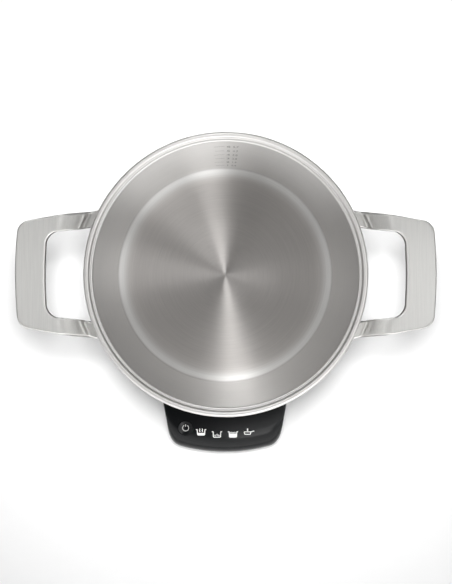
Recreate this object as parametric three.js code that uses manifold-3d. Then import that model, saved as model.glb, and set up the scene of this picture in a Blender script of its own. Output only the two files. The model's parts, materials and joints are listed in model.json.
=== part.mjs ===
// Electric multi-cooker with sous vide, stew, boil and fry programmes: a two-handled stainless steel pot
// that lifts off a round heating base, whose control nose reaches out in front.
// Millimetres, +Z up, front towards -Y. The pot's axis is vertical; the origin is the middle of the
// footprint's box, on the surface the feet stand on.

import * as THREE from "three";
import { mergeVertices } from "three/addons/utils/BufferGeometryUtils.js";
import Module from "manifold-3d";

const wasm = await Module();
wasm.setup();

// ---- Driving dimensions ----------------------------------------------------------------------------

const GAP = 0.3; // clearance between neighbouring pieces
const ROUND = 40; // facets of a large circle
const SMALL = 16; // facets of a small circle
const DEG = Math.PI / 180;

// The pot
const POT_R = 125; // inside radius
const POT_DEPTH = 138.5; // floor to lid ledge
const POT_WALL = 1.2;
const POT_CORNER_REACH = 22; // rounded corner, across the floor
const POT_CORNER_RISE = 8; // and up the wall
const LEDGE_WIDTH = 3.2; // from the wall out to the rim's bead
const BEAD_R = 2.9; // the rolled rim
const CAPSULE_R = 112; // sandwich bottom
const CAPSULE_SHEET = 1.0;

// The handles
const HANDLE_THICK = 5.5;
const HANDLE_BELOW_RIM = 8; // grip's top, below the rim's top
const HANDLE_DROP = 18; // arms' roots, below the grip
const HANDLE_OUT = 200.5; // pot axis to the grip's outer edge
const GRIP_WIDTH = 27.5;
const GRIP_BOW = 2.6; // the grip's edges bulge outwards
const GRIP_BOW_R = 420;
const GRIP_HALF_OUT = 49.6; // half widths of the handle's outline: grip's outer corners
const GRIP_HALF_IN = 39.3; // and inner corners
const ARM_HALF_OUT = 66.8; // outer edges of the arms at the root
const ARM_HALF_IN = 51.6; // and inner edges
const RAMP_START = 131; // the arms climb between these two distances from the pot's axis
const RAMP_END = 159.5;
const RAMP_BEND = 6; // length of the bend at each end of the ramp
const PAD_THICK = 2.0;
const PAD_WIDTH = 19;
const PAD_HEIGHT = 24;
const PAD_ANGLE = 25.5 * DEG; // arm roots, either side of the handle's middle

// The heating base
const FOOT_HEIGHT = 6;
const FOOT_R = 10;
const TRAY_HEIGHT = 7.7;
const SHEET = 2.5; // moulded wall of the tray and the control panel
const HOUSING_R = 128;
const HOUSING_WALL = 3;
const HOUSING_TOP = 60;
const HOUSING_EDGE_R = 6.5;
const SEAT_R = 114.8; // opening that the pot's sandwich bottom drops into
const PLATE_R = 104;
const PLATE_THICK = 6;
const PLATE_TOP = 58;

// The control nose
const NOSE_REACH = 221.3; // pot axis to the front edge
const NOSE_FRONT_R = 208; // that edge's bow in plan
const NOSE_ARC = 15 * DEG; // the bow's arc, either side of the middle
const NOSE_BACK_Y = -90;
const NOSE_BACK_HALF = 88.2;
const NOSE_TAPER = 0.178; // sideways per unit forwards
const NOSE_CORNER_R = 19;
const NOSE_TOP = 41; // front end of the top face
const NOSE_ROLL = 30; // reach of the rolled front edge
const NOSE_SIDE_ROLL = 3;
const NOSE_TILT = 0.078; // the top face falls towards the front
const KEY_ARC_Y = -49; // the keys lie on an arc
const KEY_ARC_R = 145;
const KEY_PITCH = 7.7 * DEG;
const BUTTON_R = 9.3;
const BUTTON_ROOF = 38.4; // inside of the hollow button cap
const PLUNGER_TOP = 30; // of the switch below it

// Heights that follow
const TRAY_Z = FOOT_HEIGHT;
const TRAY_TOP = TRAY_Z + TRAY_HEIGHT;
const TRAY_FLOOR = TRAY_Z + SHEET;
const HOUSING_Z = TRAY_TOP + GAP;
const CAPSULE_Z = PLATE_TOP + GAP;
const CAPSULE_TOP = CAPSULE_Z + 5.2;
const POT_Z = CAPSULE_TOP + GAP;
const POT_FLOOR = POT_Z + POT_WALL;
const LEDGE_Z = POT_FLOOR + POT_DEPTH;
const BEAD_CENTRE_R = POT_R + LEDGE_WIDTH + BEAD_R;
const BEAD_CENTRE_Z = LEDGE_Z - 0.3;
const RIM_TOP = BEAD_CENTRE_Z + BEAD_R;
const RIM_OUT = BEAD_CENTRE_R + BEAD_R;
const GRIP_TOP = RIM_TOP - HANDLE_BELOW_RIM;
const ROOT_TOP = GRIP_TOP - HANDLE_DROP;
const POT_AXIS_Y = (NOSE_REACH - RIM_OUT) / 2; // puts the origin in the middle of the footprint

// The electrics inside the base
const BOARD_Z = 14;
const BOARD_THICK = 1.6;
const ON_BOARD = BOARD_Z + BOARD_THICK + GAP;
const SHIELD_Z = 41;
const SHIELD_R = 104;
const ELEMENT_R = 78;
const ELEMENT_TUBE_R = 4;
const ELEMENT_Z = PLATE_TOP - PLATE_THICK - GAP - ELEMENT_TUBE_R;
const PLATE_UNDER = PLATE_TOP - PLATE_THICK - GAP;
const POST_R = 4;
const POST_CIRCLE = 60;
const POST_ANGLES = [30, 150, 270].map((a) => a * DEG);
const SENSOR_HOLE_R = 14;
const SENSOR_R = 11.4;
const SENSOR_CUP_Z = 38.5;
const INLET_Z = 27;
const INLET_FRONT = 104; // inner face of the inlet block
const INLET_BACK = 130.5; // its outer face
const INLET_FLOOR = 111; // bottom of its socket
const CONTROL_Z = 22;
const SCREW_CIRCLE = 121;
const SCREW_ANGLES = [45, 135, 225, 315].map((a) => a * DEG);
const PANEL_PEGS = [[-46, -194], [46, -194]];
const BOARD_PEGS = [[-40, 47], [40, 47], [-40, 93], [40, 93]];
const FEET = [[-52, -182], [52, -182], [-60, 94], [60, 94]];

// ---- Materials -------------------------------------------------------------------------------------

const material = (color, roughness, metalness) =>
  new THREE.MeshStandardMaterial({ color, roughness, metalness });

const brushedSteel = material(0xb9b6b1, 0.32, 1);
const satinSteel = material(0xc6c4bf, 0.28, 1);
const castAluminium = material(0x9c9da0, 0.5, 1);
const zincSteel = material(0xa9abad, 0.4, 1);
const brass = material(0xb8953f, 0.35, 1);
const blackSatin = material(0x1b1c1d, 0.5, 0);
const blackGloss = material(0x0d0f10, 0.12, 0);
const rubber = material(0x222222, 0.9, 0);
const silicone = material(0x8c8f91, 0.7, 0);
const circuitBoard = material(0x1f5a3a, 0.5, 0);
const darkComponent = material(0x2b2c30, 0.4, 0);
const clearPlastic = material(0xe9edf0, 0.15, 0);
const wireRed = material(0xa02622, 0.6, 0);
const wireBlue = material(0x27498c, 0.6, 0);
const wireGreen = material(0x5f8f2b, 0.6, 0);
const wireGrey = material(0xa7a9ab, 0.6, 0);

// ---- Shapes and solids -----------------------------------------------------------------------------

// A closed geometry as a solid that can be cut and joined.
function solid(geometry) {
  const bare = new THREE.BufferGeometry().setAttribute("position", geometry.getAttribute("position"));
  if (geometry.index) bare.setIndex(geometry.index);
  const merged = mergeVertices(bare, 1e-4);
  const triVerts = new Uint32Array(merged.index.array);
  return new wasm.Manifold(
    new wasm.Mesh({ numProp: 3, vertProperties: merged.attributes.position.array, triVerts }),
  );
}

// A solid as a geometry with flat faces.
function geometryOf(body) {
  const mesh = body.getMesh();
  const geometry = new THREE.BufferGeometry();
  geometry.setAttribute("position", new THREE.BufferAttribute(mesh.vertProperties, 3));
  geometry.setIndex(new THREE.BufferAttribute(mesh.triVerts, 1));
  const flat = geometry.toNonIndexed();
  flat.computeVertexNormals();
  return flat;
}

// Points of an arc in a plane, both ends included.
function arc(x, y, radius, from, to, steps) {
  return Array.from({ length: steps + 1 }, (_, i) => {
    const angle = (from + ((to - from) * i) / steps) * DEG;
    return [x + radius * Math.cos(angle), y + radius * Math.sin(angle)];
  });
}

// A solid of revolution about Z. The profile is [radius, z] pairs, counter-clockwise with radius to the
// right, and either starts and ends on the axis or closes on itself.
function lathe(profile, facets = ROUND) {
  const onAxis = profile[0][0] === 0;
  const closed = onAxis ? profile : [...profile, profile[0]];
  const points = closed.map(([r, z]) => new THREE.Vector2(r, z));
  return new THREE.LatheGeometry(points, facets).rotateX(Math.PI / 2);
}

// An outline in the XY plane raised from z0 to z1.
function prism(outline, z0, z1) {
  const shape = new THREE.Shape(outline.map(([x, y]) => new THREE.Vector2(x, y)));
  return new THREE.ExtrudeGeometry(shape, { depth: z1 - z0, bevelEnabled: false }).translate(0, 0, z0);
}

// An outline given as [x, z] pairs, extruded along Y over a width centred on y = 0.
function sidewaysPrism(outline, width) {
  const geometry = prism(outline, -width / 2, width / 2);
  const turn = new THREE.Matrix4().makeBasis(
    new THREE.Vector3(1, 0, 0),
    new THREE.Vector3(0, 0, 1),
    new THREE.Vector3(0, -1, 0),
  );
  return geometry.applyMatrix4(turn);
}

function box(x0, x1, y0, y1, z0, z1) {
  const geometry = new THREE.BoxGeometry(x1 - x0, y1 - y0, z1 - z0);
  return geometry.translate((x0 + x1) / 2, (y0 + y1) / 2, (z0 + z1) / 2);
}

function rod(x, y, radius, z0, z1, facets = SMALL) {
  const geometry = new THREE.CylinderGeometry(radius, radius, z1 - z0, facets).rotateX(Math.PI / 2);
  return geometry.translate(x, y, (z0 + z1) / 2);
}

// A round or rectangular section swept along a smooth curve through the points.
function sweep(points, section, steps) {
  const path = new THREE.CatmullRomCurve3(points.map((p) => new THREE.Vector3(...p)), false, "centripetal");
  const shape = new THREE.Shape(section.map(([x, y]) => new THREE.Vector2(x, y)));
  return new THREE.ExtrudeGeometry(shape, { steps, extrudePath: path, bevelEnabled: false });
}

const roundSection = (radius, sides = 8) => arc(0, 0, radius, 0, 360 - 360 / sides, sides - 1);

// A coil spring about Z.
function coil(radius, wireR, z0, z1, turns, stepsPerTurn = 10) {
  const count = turns * stepsPerTurn;
  const points = Array.from({ length: count + 1 }, (_, i) => {
    const angle = (2 * Math.PI * i) / stepsPerTurn;
    return [radius * Math.cos(angle), radius * Math.sin(angle), z0 + ((z1 - z0) * i) / count];
  });
  return sweep(points, roundSection(wireR, 6), count);
}

// A polygon with rounded corners: each corner is [x, y, radius], radius 0 staying sharp.
function roundedOutline(corners, steps) {
  return corners.flatMap(([x, y, radius], i) => {
    if (!radius) return [[x, y]];
    const corner = new THREE.Vector2(x, y);
    const [before, after] = [-1, 1].map((step) => {
      const [nx, ny] = corners[(i + step + corners.length) % corners.length];
      return new THREE.Vector2(nx, ny).sub(corner).normalize();
    });
    const half = Math.acos(THREE.MathUtils.clamp(before.dot(after), -1, 1)) / 2;
    const inwards = before.clone().add(after).normalize();
    const centre = inwards.multiplyScalar(radius / Math.sin(half)).add(corner);
    const [start, end] = [before, after].map((side) =>
      side.clone().multiplyScalar(radius / Math.tan(half)).add(corner).sub(centre).angle(),
    );
    let sweepAngle = end - start;
    if (sweepAngle > Math.PI) sweepAngle -= 2 * Math.PI;
    if (sweepAngle < -Math.PI) sweepAngle += 2 * Math.PI;
    return arc(centre.x, centre.y, radius, start / DEG, (start + sweepAngle) / DEG, steps);
  });
}

// A closed body through stacked loops of [x, y, z] points, all of one length, counter-clockwise from above.
function loft(loops) {
  const count = loops[0].length;
  const index = [];
  loops.slice(1).forEach((_, level) => {
    for (let i = 0; i < count; i++) {
      const [a, b] = [level * count + i, level * count + ((i + 1) % count)];
      index.push(a, b, b + count, a, b + count, a + count);
    }
  });
  const lid = THREE.ShapeUtils.triangulateShape(loops[0].map(([x, y]) => new THREE.Vector2(x, y)), []);
  const top = (loops.length - 1) * count;
  lid.forEach(([a, b, c]) => index.push(a, c, b, top + a, top + b, top + c));
  const geometry = new THREE.BufferGeometry();
  geometry.setAttribute("position", new THREE.Float32BufferAttribute(loops.flat(2), 3));
  return geometry.setIndex(index);
}

const placed = (geometry, x, y, z = 0) => geometry.translate(x, y, z);
const cut = (body, ...tools) => tools.reduce((rest, tool) => rest.subtract(solid(tool)), body);
const join = (body, ...extras) => extras.reduce((rest, extra) => rest.add(solid(extra)), body);
const polar = (radius, angle) => [radius * Math.cos(angle), radius * Math.sin(angle)];

function piece(name, shape, finish, x = 0, y = 0, z = 0) {
  const mesh = new THREE.Mesh(shape.isBufferGeometry ? shape : geometryOf(shape), finish);
  mesh.name = name;
  mesh.position.set(x, y, z);
  return mesh;
}

// ---- The pot ---------------------------------------------------------------------------------------

// Elliptical corner between floor and wall, at an offset out from the pot's inner surface.
function potCorner(offset, from, to) {
  const [reach, rise] = [POT_CORNER_REACH + offset, POT_CORNER_RISE + offset];
  return arc(0, 0, 1, from, to, 6).map(([x, y]) => [
    POT_R - POT_CORNER_REACH + x * reach,
    POT_FLOOR + POT_CORNER_RISE + y * rise,
  ]);
}

// Deep-drawn shell: flat floor, rounded corner, straight wall, narrow lid ledge and a rolled bead.
function potShell() {
  const outerR = POT_R + POT_WALL;
  return lathe([
    [0, POT_Z],
    ...potCorner(POT_WALL, -90, 0),
    [outerR, LEDGE_Z - 4.6],
    [outerR + 2, LEDGE_Z - 2.2],
    ...arc(BEAD_CENTRE_R, BEAD_CENTRE_Z, BEAD_R, -60, 165, 8),
    ...arc(POT_R + 2, LEDGE_Z - 2, 2, 90, 180, 3),
    ...potCorner(0, 0, -90),
    [0, POT_FLOOR],
  ]);
}

// Steel cap pressed over the aluminium core of the sandwich bottom.
function capsuleCap() {
  const inner = CAPSULE_R - CAPSULE_SHEET;
  return lathe([
    [0, CAPSULE_Z],
    [CAPSULE_R - 1.5, CAPSULE_Z],
    [CAPSULE_R, CAPSULE_Z + 1.5],
    [CAPSULE_R, CAPSULE_TOP],
    [inner, CAPSULE_TOP],
    [inner, CAPSULE_Z + CAPSULE_SHEET + 0.6],
    [inner - 0.6, CAPSULE_Z + CAPSULE_SHEET],
    [0, CAPSULE_Z + CAPSULE_SHEET],
  ]);
}

function capsuleCore() {
  const radius = CAPSULE_R - CAPSULE_SHEET - 1;
  return rod(0, 0, radius, CAPSULE_Z + CAPSULE_SHEET + GAP, CAPSULE_TOP, ROUND);
}

// Height of the strap's middle surface at a distance from the pot's axis: flat root, bend, ramp, bend,
// flat grip.
function strapHeight(x) {
  const run = RAMP_END - RAMP_START;
  const s = THREE.MathUtils.clamp(x - RAMP_START, 0, run);
  const slope = HANDLE_DROP / (run - RAMP_BEND);
  let climb = slope * (s - RAMP_BEND / 2);
  if (s < RAMP_BEND) climb = (slope * s ** 2) / (2 * RAMP_BEND);
  if (s > run - RAMP_BEND) climb = HANDLE_DROP - (slope * (run - s) ** 2) / (2 * RAMP_BEND);
  return ROOT_TOP + climb - HANDLE_THICK / 2;
}

// Loop handle for the +X side: a bent strap cut to a plan outline with a finger gap.
function handle() {
  const steps = 7;
  const stride = (RAMP_END - RAMP_START) / steps;
  const ramp = Array.from({ length: steps + 1 }, (_, i) => RAMP_START + stride * i);
  const line = [POT_R - 20, ...ramp, HANDLE_OUT + 5].map((x) => {
    const slope = (strapHeight(x + 0.1) - strapHeight(x - 0.1)) / 0.2;
    const normal = new THREE.Vector2(-slope, 1).normalize().multiplyScalar(HANDLE_THICK / 2);
    return { x, z: strapHeight(x), normal };
  });
  const under = line.map(({ x, z, normal }) => [x - normal.x, z - normal.y]);
  const over = line.map(({ x, z, normal }) => [x + normal.x, z + normal.y]).reverse();
  const root = POT_R - 21;
  const gripIn = HANDLE_OUT - GRIP_WIDTH;
  const outline = roundedOutline(
    [
      [root, -ARM_HALF_OUT, 0],
      [HANDLE_OUT - GRIP_BOW, -GRIP_HALF_OUT, 13],
      [HANDLE_OUT + 1, 0, GRIP_BOW_R],
      [HANDLE_OUT - GRIP_BOW, GRIP_HALF_OUT, 13],
      [root, ARM_HALF_OUT, 0],
      [root, ARM_HALF_IN, 0],
      [gripIn - GRIP_BOW, GRIP_HALF_IN, 14],
      [gripIn + 1, 0, GRIP_BOW_R],
      [gripIn - GRIP_BOW, -GRIP_HALF_IN, 14],
      [root, -ARM_HALF_IN, 0],
    ],
    5,
  );
  const strap = solid(sidewaysPrism([...under, ...over], 150));
  const below = ROOT_TOP - 30;
  const wall = rod(0, 0, POT_R + POT_WALL + PAD_THICK + 2 * GAP, below, RIM_TOP, 2 * ROUND);
  return cut(solid(prism(outline, below, RIM_TOP)), wall).intersect(strap);
}

// Curved pad that carries an arm's root on the pot's wall.
function handlePad() {
  const inner = POT_R + POT_WALL + GAP;
  const half = PAD_WIDTH / 2 / inner / DEG;
  const outline = [...arc(0, 0, inner + PAD_THICK, -half, half, 3), ...arc(0, 0, inner, half, -half, 3)];
  const middle = ROOT_TOP - HANDLE_THICK / 2;
  return prism(outline, middle - PAD_HEIGHT / 2, middle + PAD_HEIGHT / 2);
}

function pot() {
  const group = new THREE.Group();
  group.add(piece("pot_shell", potShell(), brushedSteel));
  group.add(piece("base_capsule_cap", capsuleCap(), brushedSteel));
  group.add(piece("base_capsule_core", capsuleCore(), castAluminium));
  for (const [side, turn] of [["right", 0], ["left", Math.PI]]) {
    const arm = new THREE.Group();
    arm.rotation.z = turn;
    arm.add(piece(`${side}_handle`, handle(), satinSteel));
    for (const [end, angle] of [["a", -PAD_ANGLE], ["b", PAD_ANGLE]]) {
      const pad = piece(`${side}_handle_pad_${end}`, handlePad(), satinSteel);
      pad.rotation.z = angle;
      arm.add(pad);
    }
    group.add(arm);
  }
  return group;
}

// ---- The base's casings ----------------------------------------------------------------------------

// Plan outline of the control nose, drawn in from its sides and from its front.
function noseOutline(sideInset, frontInset, cornerR) {
  const frontR = NOSE_FRONT_R - frontInset;
  const front = NOSE_REACH - NOSE_FRONT_R + frontR / Math.cos(NOSE_ARC);
  const half = NOSE_BACK_HALF - sideInset;
  const slope = Math.tan(NOSE_ARC);
  const cornerX = (half - NOSE_TAPER * (front + NOSE_BACK_Y)) / (1 - NOSE_TAPER * slope);
  const cornerY = cornerX * slope - front;
  return roundedOutline(
    [
      [half, NOSE_BACK_Y, 0],
      [-half, NOSE_BACK_Y, 0],
      [-cornerX, cornerY, cornerR],
      [0, -front, frontR],
      [cornerX, cornerY, cornerR],
    ],
    6,
  );
}

// The nose's body: upright foot, then sides and front rolling over into a top that falls forwards.
function noseBody(skin, bottom, levels) {
  const rollZ = HOUSING_Z + 2;
  const rise = NOSE_TOP - skin - rollZ;
  const topY = NOSE_ROLL - NOSE_REACH;
  const loopAt = (angle, z) => {
    const share = 1 - Math.cos(angle);
    const cornerR = NOSE_CORNER_R - skin + 0.4 * NOSE_ROLL * share;
    const outline = noseOutline(skin + NOSE_SIDE_ROLL * share, skin + NOSE_ROLL * share, cornerR);
    return outline.map(([x, y]) => [x, y, z + NOSE_TILT * (y - topY) * Math.sin(angle)]);
  };
  const loops = [loopAt(0, bottom)];
  for (let i = 0; i <= levels; i++) {
    const angle = (Math.PI / 2) * (i / levels);
    loops.push(loopAt(angle, rollZ + rise * Math.sin(angle)));
  }
  return loft(loops);
}

function keyPlace(key) {
  const [x, y] = polar(KEY_ARC_R, -Math.PI / 2 + (key - 2.5) * KEY_PITCH);
  return [x, y + KEY_ARC_Y];
}

const [BUTTON_X, BUTTON_Y] = keyPlace(0);

// Gloss cover of the nose, open below and behind, with the hole for the power button.
function controlPanel() {
  return cut(
    solid(noseBody(0, HOUSING_Z, 7)),
    noseBody(SHEET, HOUSING_Z - 1, 5),
    rod(0, 0, HOUSING_R + GAP, 0, HOUSING_TOP, 2 * ROUND),
    rod(BUTTON_X, BUTTON_Y, BUTTON_R + GAP, CONTROL_Z, HOUSING_TOP, 24),
  );
}

// Round wall and deck of the base, with screw bosses, cable window, inlet hole and rear vents.
function baseHousing() {
  const deckUnder = HOUSING_TOP - 5;
  const inner = HOUSING_R - HOUSING_WALL;
  const shell = solid(
    lathe([
      [inner, HOUSING_Z],
      [HOUSING_R, HOUSING_Z],
      ...arc(HOUSING_R - HOUSING_EDGE_R, HOUSING_TOP - HOUSING_EDGE_R, HOUSING_EDGE_R, 0, 90, 4),
      [SEAT_R + 1.2, HOUSING_TOP],
      [SEAT_R, HOUSING_TOP - 1.2],
      [SEAT_R, deckUnder],
      [inner - 5, deckUnder],
      [inner, deckUnder - 3],
    ]),
  );
  const bosses = SCREW_ANGLES.map((a) => rod(...polar(SCREW_CIRCLE, a), 5, HOUSING_Z, deckUnder + 1, 12));
  const holes = SCREW_ANGLES.map((a) => rod(...polar(SCREW_CIRCLE, a), 2.05, HOUSING_Z - 1, 30, 8));
  const vents = [];
  for (const side of [-1, 1])
    for (let i = 0; i < 5; i++) {
      const slot = box(inner - 3, HOUSING_R + 3, -1.2, 1.2, 24, 42);
      vents.push(slot.rotateZ(Math.PI / 2 + side * (13 + 3.5 * i) * DEG));
    }
  return cut(
    join(shell, ...bosses),
    box(-60, 60, -HOUSING_R - 5, -100, HOUSING_Z - 1, 36),
    box(-15 - GAP, 15 + GAP, 100, HOUSING_R + 5, INLET_Z - 12 - GAP, INLET_Z + 12 + GAP),
    ...holes,
    ...vents,
  );
}

// Steel ring on the deck, around the seat.
function trimRing() {
  const z = HOUSING_TOP + GAP;
  return lathe([
    [SEAT_R + 1.4, z],
    [HOUSING_R - HOUSING_EDGE_R - 0.6, z],
    [HOUSING_R - HOUSING_EDGE_R - 0.6, z + 0.6],
    [HOUSING_R - HOUSING_EDGE_R - 1.2, z + 1.2],
    [SEAT_R + 2, z + 1.2],
    [SEAT_R + 1.4, z + 0.6],
  ]);
}

// Floor of the base and of the nose, with a low wall, pegs, screw and foot holes and air slots.
function bottomTray() {
  const wallR = HOUSING_R - 1;
  const outer = join(
    solid(rod(0, 0, wallR, TRAY_Z, TRAY_TOP, ROUND)),
    prism(noseOutline(1, 1, NOSE_CORNER_R - 1), TRAY_Z, TRAY_TOP),
  );
  const skin = 1 + SHEET;
  const hollow = join(
    solid(rod(0, 0, wallR - SHEET, TRAY_FLOOR, TRAY_TOP + 1, ROUND)),
    prism(noseOutline(skin, skin, NOSE_CORNER_R - skin), TRAY_FLOOR, TRAY_TOP + 1),
  );
  const pegs = [
    ...SCREW_ANGLES.map((a) => rod(...polar(SCREW_CIRCLE, a), 5.4, TRAY_FLOOR - 1, TRAY_TOP, 12)),
    ...PANEL_PEGS.map(([x, y]) => rod(x, y, 2.5, TRAY_FLOOR - 1, CONTROL_Z - GAP, 8)),
    ...BOARD_PEGS.map(([x, y]) => rod(x, y, 2.5, TRAY_FLOOR - 1, BOARD_Z - GAP, 8)),
  ];
  const slots = [-3, -2, -1, 0, 1, 2, 3].map((i) => box(-24, 24, 9 * i - 1.6, 9 * i + 1.6, 0, 12));
  return cut(
    join(outer.subtract(hollow), ...pegs),
    ...SCREW_ANGLES.map((a) => rod(...polar(SCREW_CIRCLE, a), 4.1, TRAY_Z - 1, TRAY_Z + 3.2, 12)),
    ...SCREW_ANGLES.map((a) => rod(...polar(SCREW_CIRCLE, a), 2.05, TRAY_Z, TRAY_TOP + 1, 8)),
    ...FEET.map(([x, y]) => rod(x, y, 2.8, TRAY_Z - 1, TRAY_FLOOR + 1, 12)),
    ...slots,
  );
}

// Rubber foot with the stem that plugs into the tray.
function foot() {
  const top = FOOT_HEIGHT - GAP;
  const sole = [[0, 0], [FOOT_R - 1.2, 0], [FOOT_R, 1.2], [FOOT_R, top]];
  return lathe([...sole, [2.5, top], [2.5, 10], [0, 10]], 24);
}

function trayScrew() {
  return lathe([[0, 0], [3.8, 0], [3.8, 2.4], [1.7, 2.4], [1.7, 18], [0, 18]], 12);
}

function casings() {
  const group = new THREE.Group();
  group.add(piece("base_housing", baseHousing(), blackSatin));
  group.add(piece("base_trim_ring", trimRing(), brushedSteel));
  group.add(piece("bottom_tray", bottomTray(), blackSatin));
  group.add(piece("control_panel", controlPanel(), blackGloss));
  FEET.forEach(([x, y], i) => group.add(piece(`foot_${i + 1}`, foot(), rubber, x, y)));
  SCREW_ANGLES.forEach((angle, i) => {
    const [x, y] = polar(SCREW_CIRCLE, angle);
    group.add(piece(`tray_screw_${i + 1}`, trayScrew(), zincSteel, x, y, TRAY_Z + 0.5));
  });
  return group;
}

// ---- The heater ------------------------------------------------------------------------------------

function heatingPlate() {
  const bottom = PLATE_TOP - PLATE_THICK;
  return lathe([
    [SENSOR_HOLE_R, bottom],
    [PLATE_R, bottom],
    [PLATE_R, PLATE_TOP - 0.8],
    [PLATE_R - 0.8, PLATE_TOP],
    [SENSOR_HOLE_R + 0.8, PLATE_TOP],
    [SENSOR_HOLE_R, PLATE_TOP - 0.8],
  ]);
}

function plateGasket() {
  const inner = PLATE_R + GAP;
  return lathe([
    [inner, PLATE_TOP - 5.5],
    [SEAT_R + 0.8, PLATE_TOP - 5.5],
    [SEAT_R + 0.8, PLATE_TOP - 3.3],
    [SEAT_R - GAP, PLATE_TOP - 3.3],
    [SEAT_R - GAP, PLATE_TOP - 0.8],
    [inner, PLATE_TOP - 0.8],
  ]);
}

// Sheathed element: nearly a full ring, with both ends turned down at the rear.
function heatingElement() {
  const ringSteps = 30;
  const gapAngle = 10.5 * DEG;
  const ring = Array.from({ length: ringSteps + 1 }, (_, i) => {
    const angle = Math.PI / 2 + gapAngle + ((2 * Math.PI - 2 * gapAngle) * i) / ringSteps;
    return [...polar(ELEMENT_R, angle), ELEMENT_Z];
  });
  const [endX, endY] = polar(ELEMENT_R, Math.PI / 2 - gapAngle);
  const down = (sign) => [ELEMENT_Z - 6, 31].map((z) => [sign * (endX - 2.5), endY + 0.6, z]);
  return sweep([...down(-1).reverse(), ...ring, ...down(1)], roundSection(ELEMENT_TUBE_R - 0.4), 46);
}

// Dished steel shield below the element, with holes for the posts, the sensor and the element's ends.
function heatShield() {
  const dish = solid(
    lathe([
      [16, SHIELD_Z],
      [SHIELD_R - 3, SHIELD_Z],
      [SHIELD_R, SHIELD_Z + 3],
      [SHIELD_R, 50],
      [SHIELD_R - 1, 50],
      [SHIELD_R - 1, SHIELD_Z + 3.4],
      [SHIELD_R - 3.4, SHIELD_Z + 1],
      [16, SHIELD_Z + 1],
    ]),
  );
  return cut(
    dish,
    ...POST_ANGLES.map((a) => rod(...polar(POST_CIRCLE, a), POST_R + 1, SHIELD_Z - 1, SHIELD_Z + 2, 12)),
    box(-21, 21, 70, 86, SHIELD_Z - 1, SHIELD_Z + 2),
  );
}

// Cup below the plate that guides the sensor and holds its spring.
function sensorHousing() {
  return lathe(
    [
      [4, SENSOR_CUP_Z],
      [13.6, SENSOR_CUP_Z],
      [13.6, PLATE_UNDER - 1.5],
      [18, PLATE_UNDER - 1.5],
      [18, PLATE_UNDER],
      [12.1, PLATE_UNDER],
      [12.1, SENSOR_CUP_Z + 1.2],
      [4, SENSOR_CUP_Z + 1.2],
    ],
    24,
  );
}

function fuseClip() {
  const strip = solid(box(38, 62, -6, 6, PLATE_UNDER - 1, PLATE_UNDER));
  return join(strip, box(40, 60, -4.6, -3.4, PLATE_UNDER - 6, PLATE_UNDER - 0.5));
}

function heater() {
  const group = new THREE.Group();
  group.add(piece("heating_plate", heatingPlate(), castAluminium));
  group.add(piece("plate_gasket", plateGasket(), silicone));
  group.add(piece("heating_element", heatingElement(), zincSteel));
  group.add(piece("heat_shield", heatShield(), zincSteel));
  group.add(piece("sensor_housing", sensorHousing(), darkComponent));
  group.add(piece("sensor_spring", coil(8, 0.7, SENSOR_CUP_Z + 2.2, PLATE_TOP - 3, 4), zincSteel));
  group.add(piece("fuse_clip", fuseClip(), zincSteel));
  group.add(piece("thermal_fuse", sweep([[50, -3, 48], [50, 9, 48]], roundSection(1.9), 1), satinSteel));
  POST_ANGLES.forEach((angle, i) => {
    const post = rod(0, 0, POST_R, TRAY_FLOOR + GAP, PLATE_UNDER, 12);
    group.add(piece(`plate_post_${i + 1}`, post, zincSteel, ...polar(POST_CIRCLE, angle)));
  });
  return group;
}

// ---- The electrics ---------------------------------------------------------------------------------

// Appliance inlet: a block with a socket that has two cut corners, and holes for its three pins.
const INLET_PINS = { live: [-7, INLET_Z + 1], neutral: [7, INLET_Z + 1], earth: [0, INLET_Z + 5] };

function inletSocket() {
  const socket = [
    [-12.2, -8.2],
    [12.2, -8.2],
    [12.2, 4.2],
    [8.2, 8.2],
    [-8.2, 8.2],
    [-12.2, 4.2],
  ].map(([x, z]) => [x, z + INLET_Z]);
  const length = INLET_BACK - INLET_FLOOR;
  const hollow = sidewaysPrism(socket, length + 1).translate(0, INLET_FLOOR + (length + 1) / 2, 0);
  const pinHoles = Object.values(INLET_PINS).map(([x, z]) =>
    box(x - 1 - GAP, x + 1 + GAP, 100, 115, z - 2 - GAP, z + 2 + GAP),
  );
  return cut(solid(box(-15, 15, INLET_FRONT, INLET_BACK, INLET_Z - 12, INLET_Z + 12)), hollow, ...pinHoles);
}

const inletPin = ([x, z]) => box(x - 1, x + 1, 100, 126, z - 2, z + 2);

// Board with its four indicator lamps.
function controlBoard() {
  const top = CONTROL_Z + BOARD_THICK;
  const lamps = [1, 2, 3, 4].map((key) => {
    const [x, y] = keyPlace(key);
    return box(x - 1.6, x + 1.6, y - 1.4, y + 1.4, top - 0.5, top + 1);
  });
  return join(solid(box(-56, 56, -201, -175, CONTROL_Z, top)), ...lamps);
}

function buttonSwitch() {
  const z = CONTROL_Z + BOARD_THICK + GAP;
  const body = solid(box(BUTTON_X - 3.5, BUTTON_X + 3.5, BUTTON_Y - 3.5, BUTTON_Y + 3.5, z, z + 3.6));
  return cut(body, rod(BUTTON_X, BUTTON_Y, 2.1, z + 0.7, z + 5, 12));
}

function lightGuide() {
  const z = CONTROL_Z + BOARD_THICK + 1 + GAP;
  const half = 5.5;
  const collar = solid(box(-half, half, -half + 1.5, half - 1.5, 34, 36.4));
  return join(collar, box(-2.5, 2.5, -2, 2, z, 34.5));
}

function powerBoard() {
  return box(-46, 46, 42, 98, BOARD_Z, BOARD_Z + BOARD_THICK);
}

function terminalBlock() {
  const body = solid(box(-16, 16, 80, 90, ON_BOARD, ON_BOARD + 10));
  return cut(body, ...[-11, 0, 11].map((x) => rod(x, 85, 2, ON_BOARD + 4, ON_BOARD + 12, 8)));
}

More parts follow.
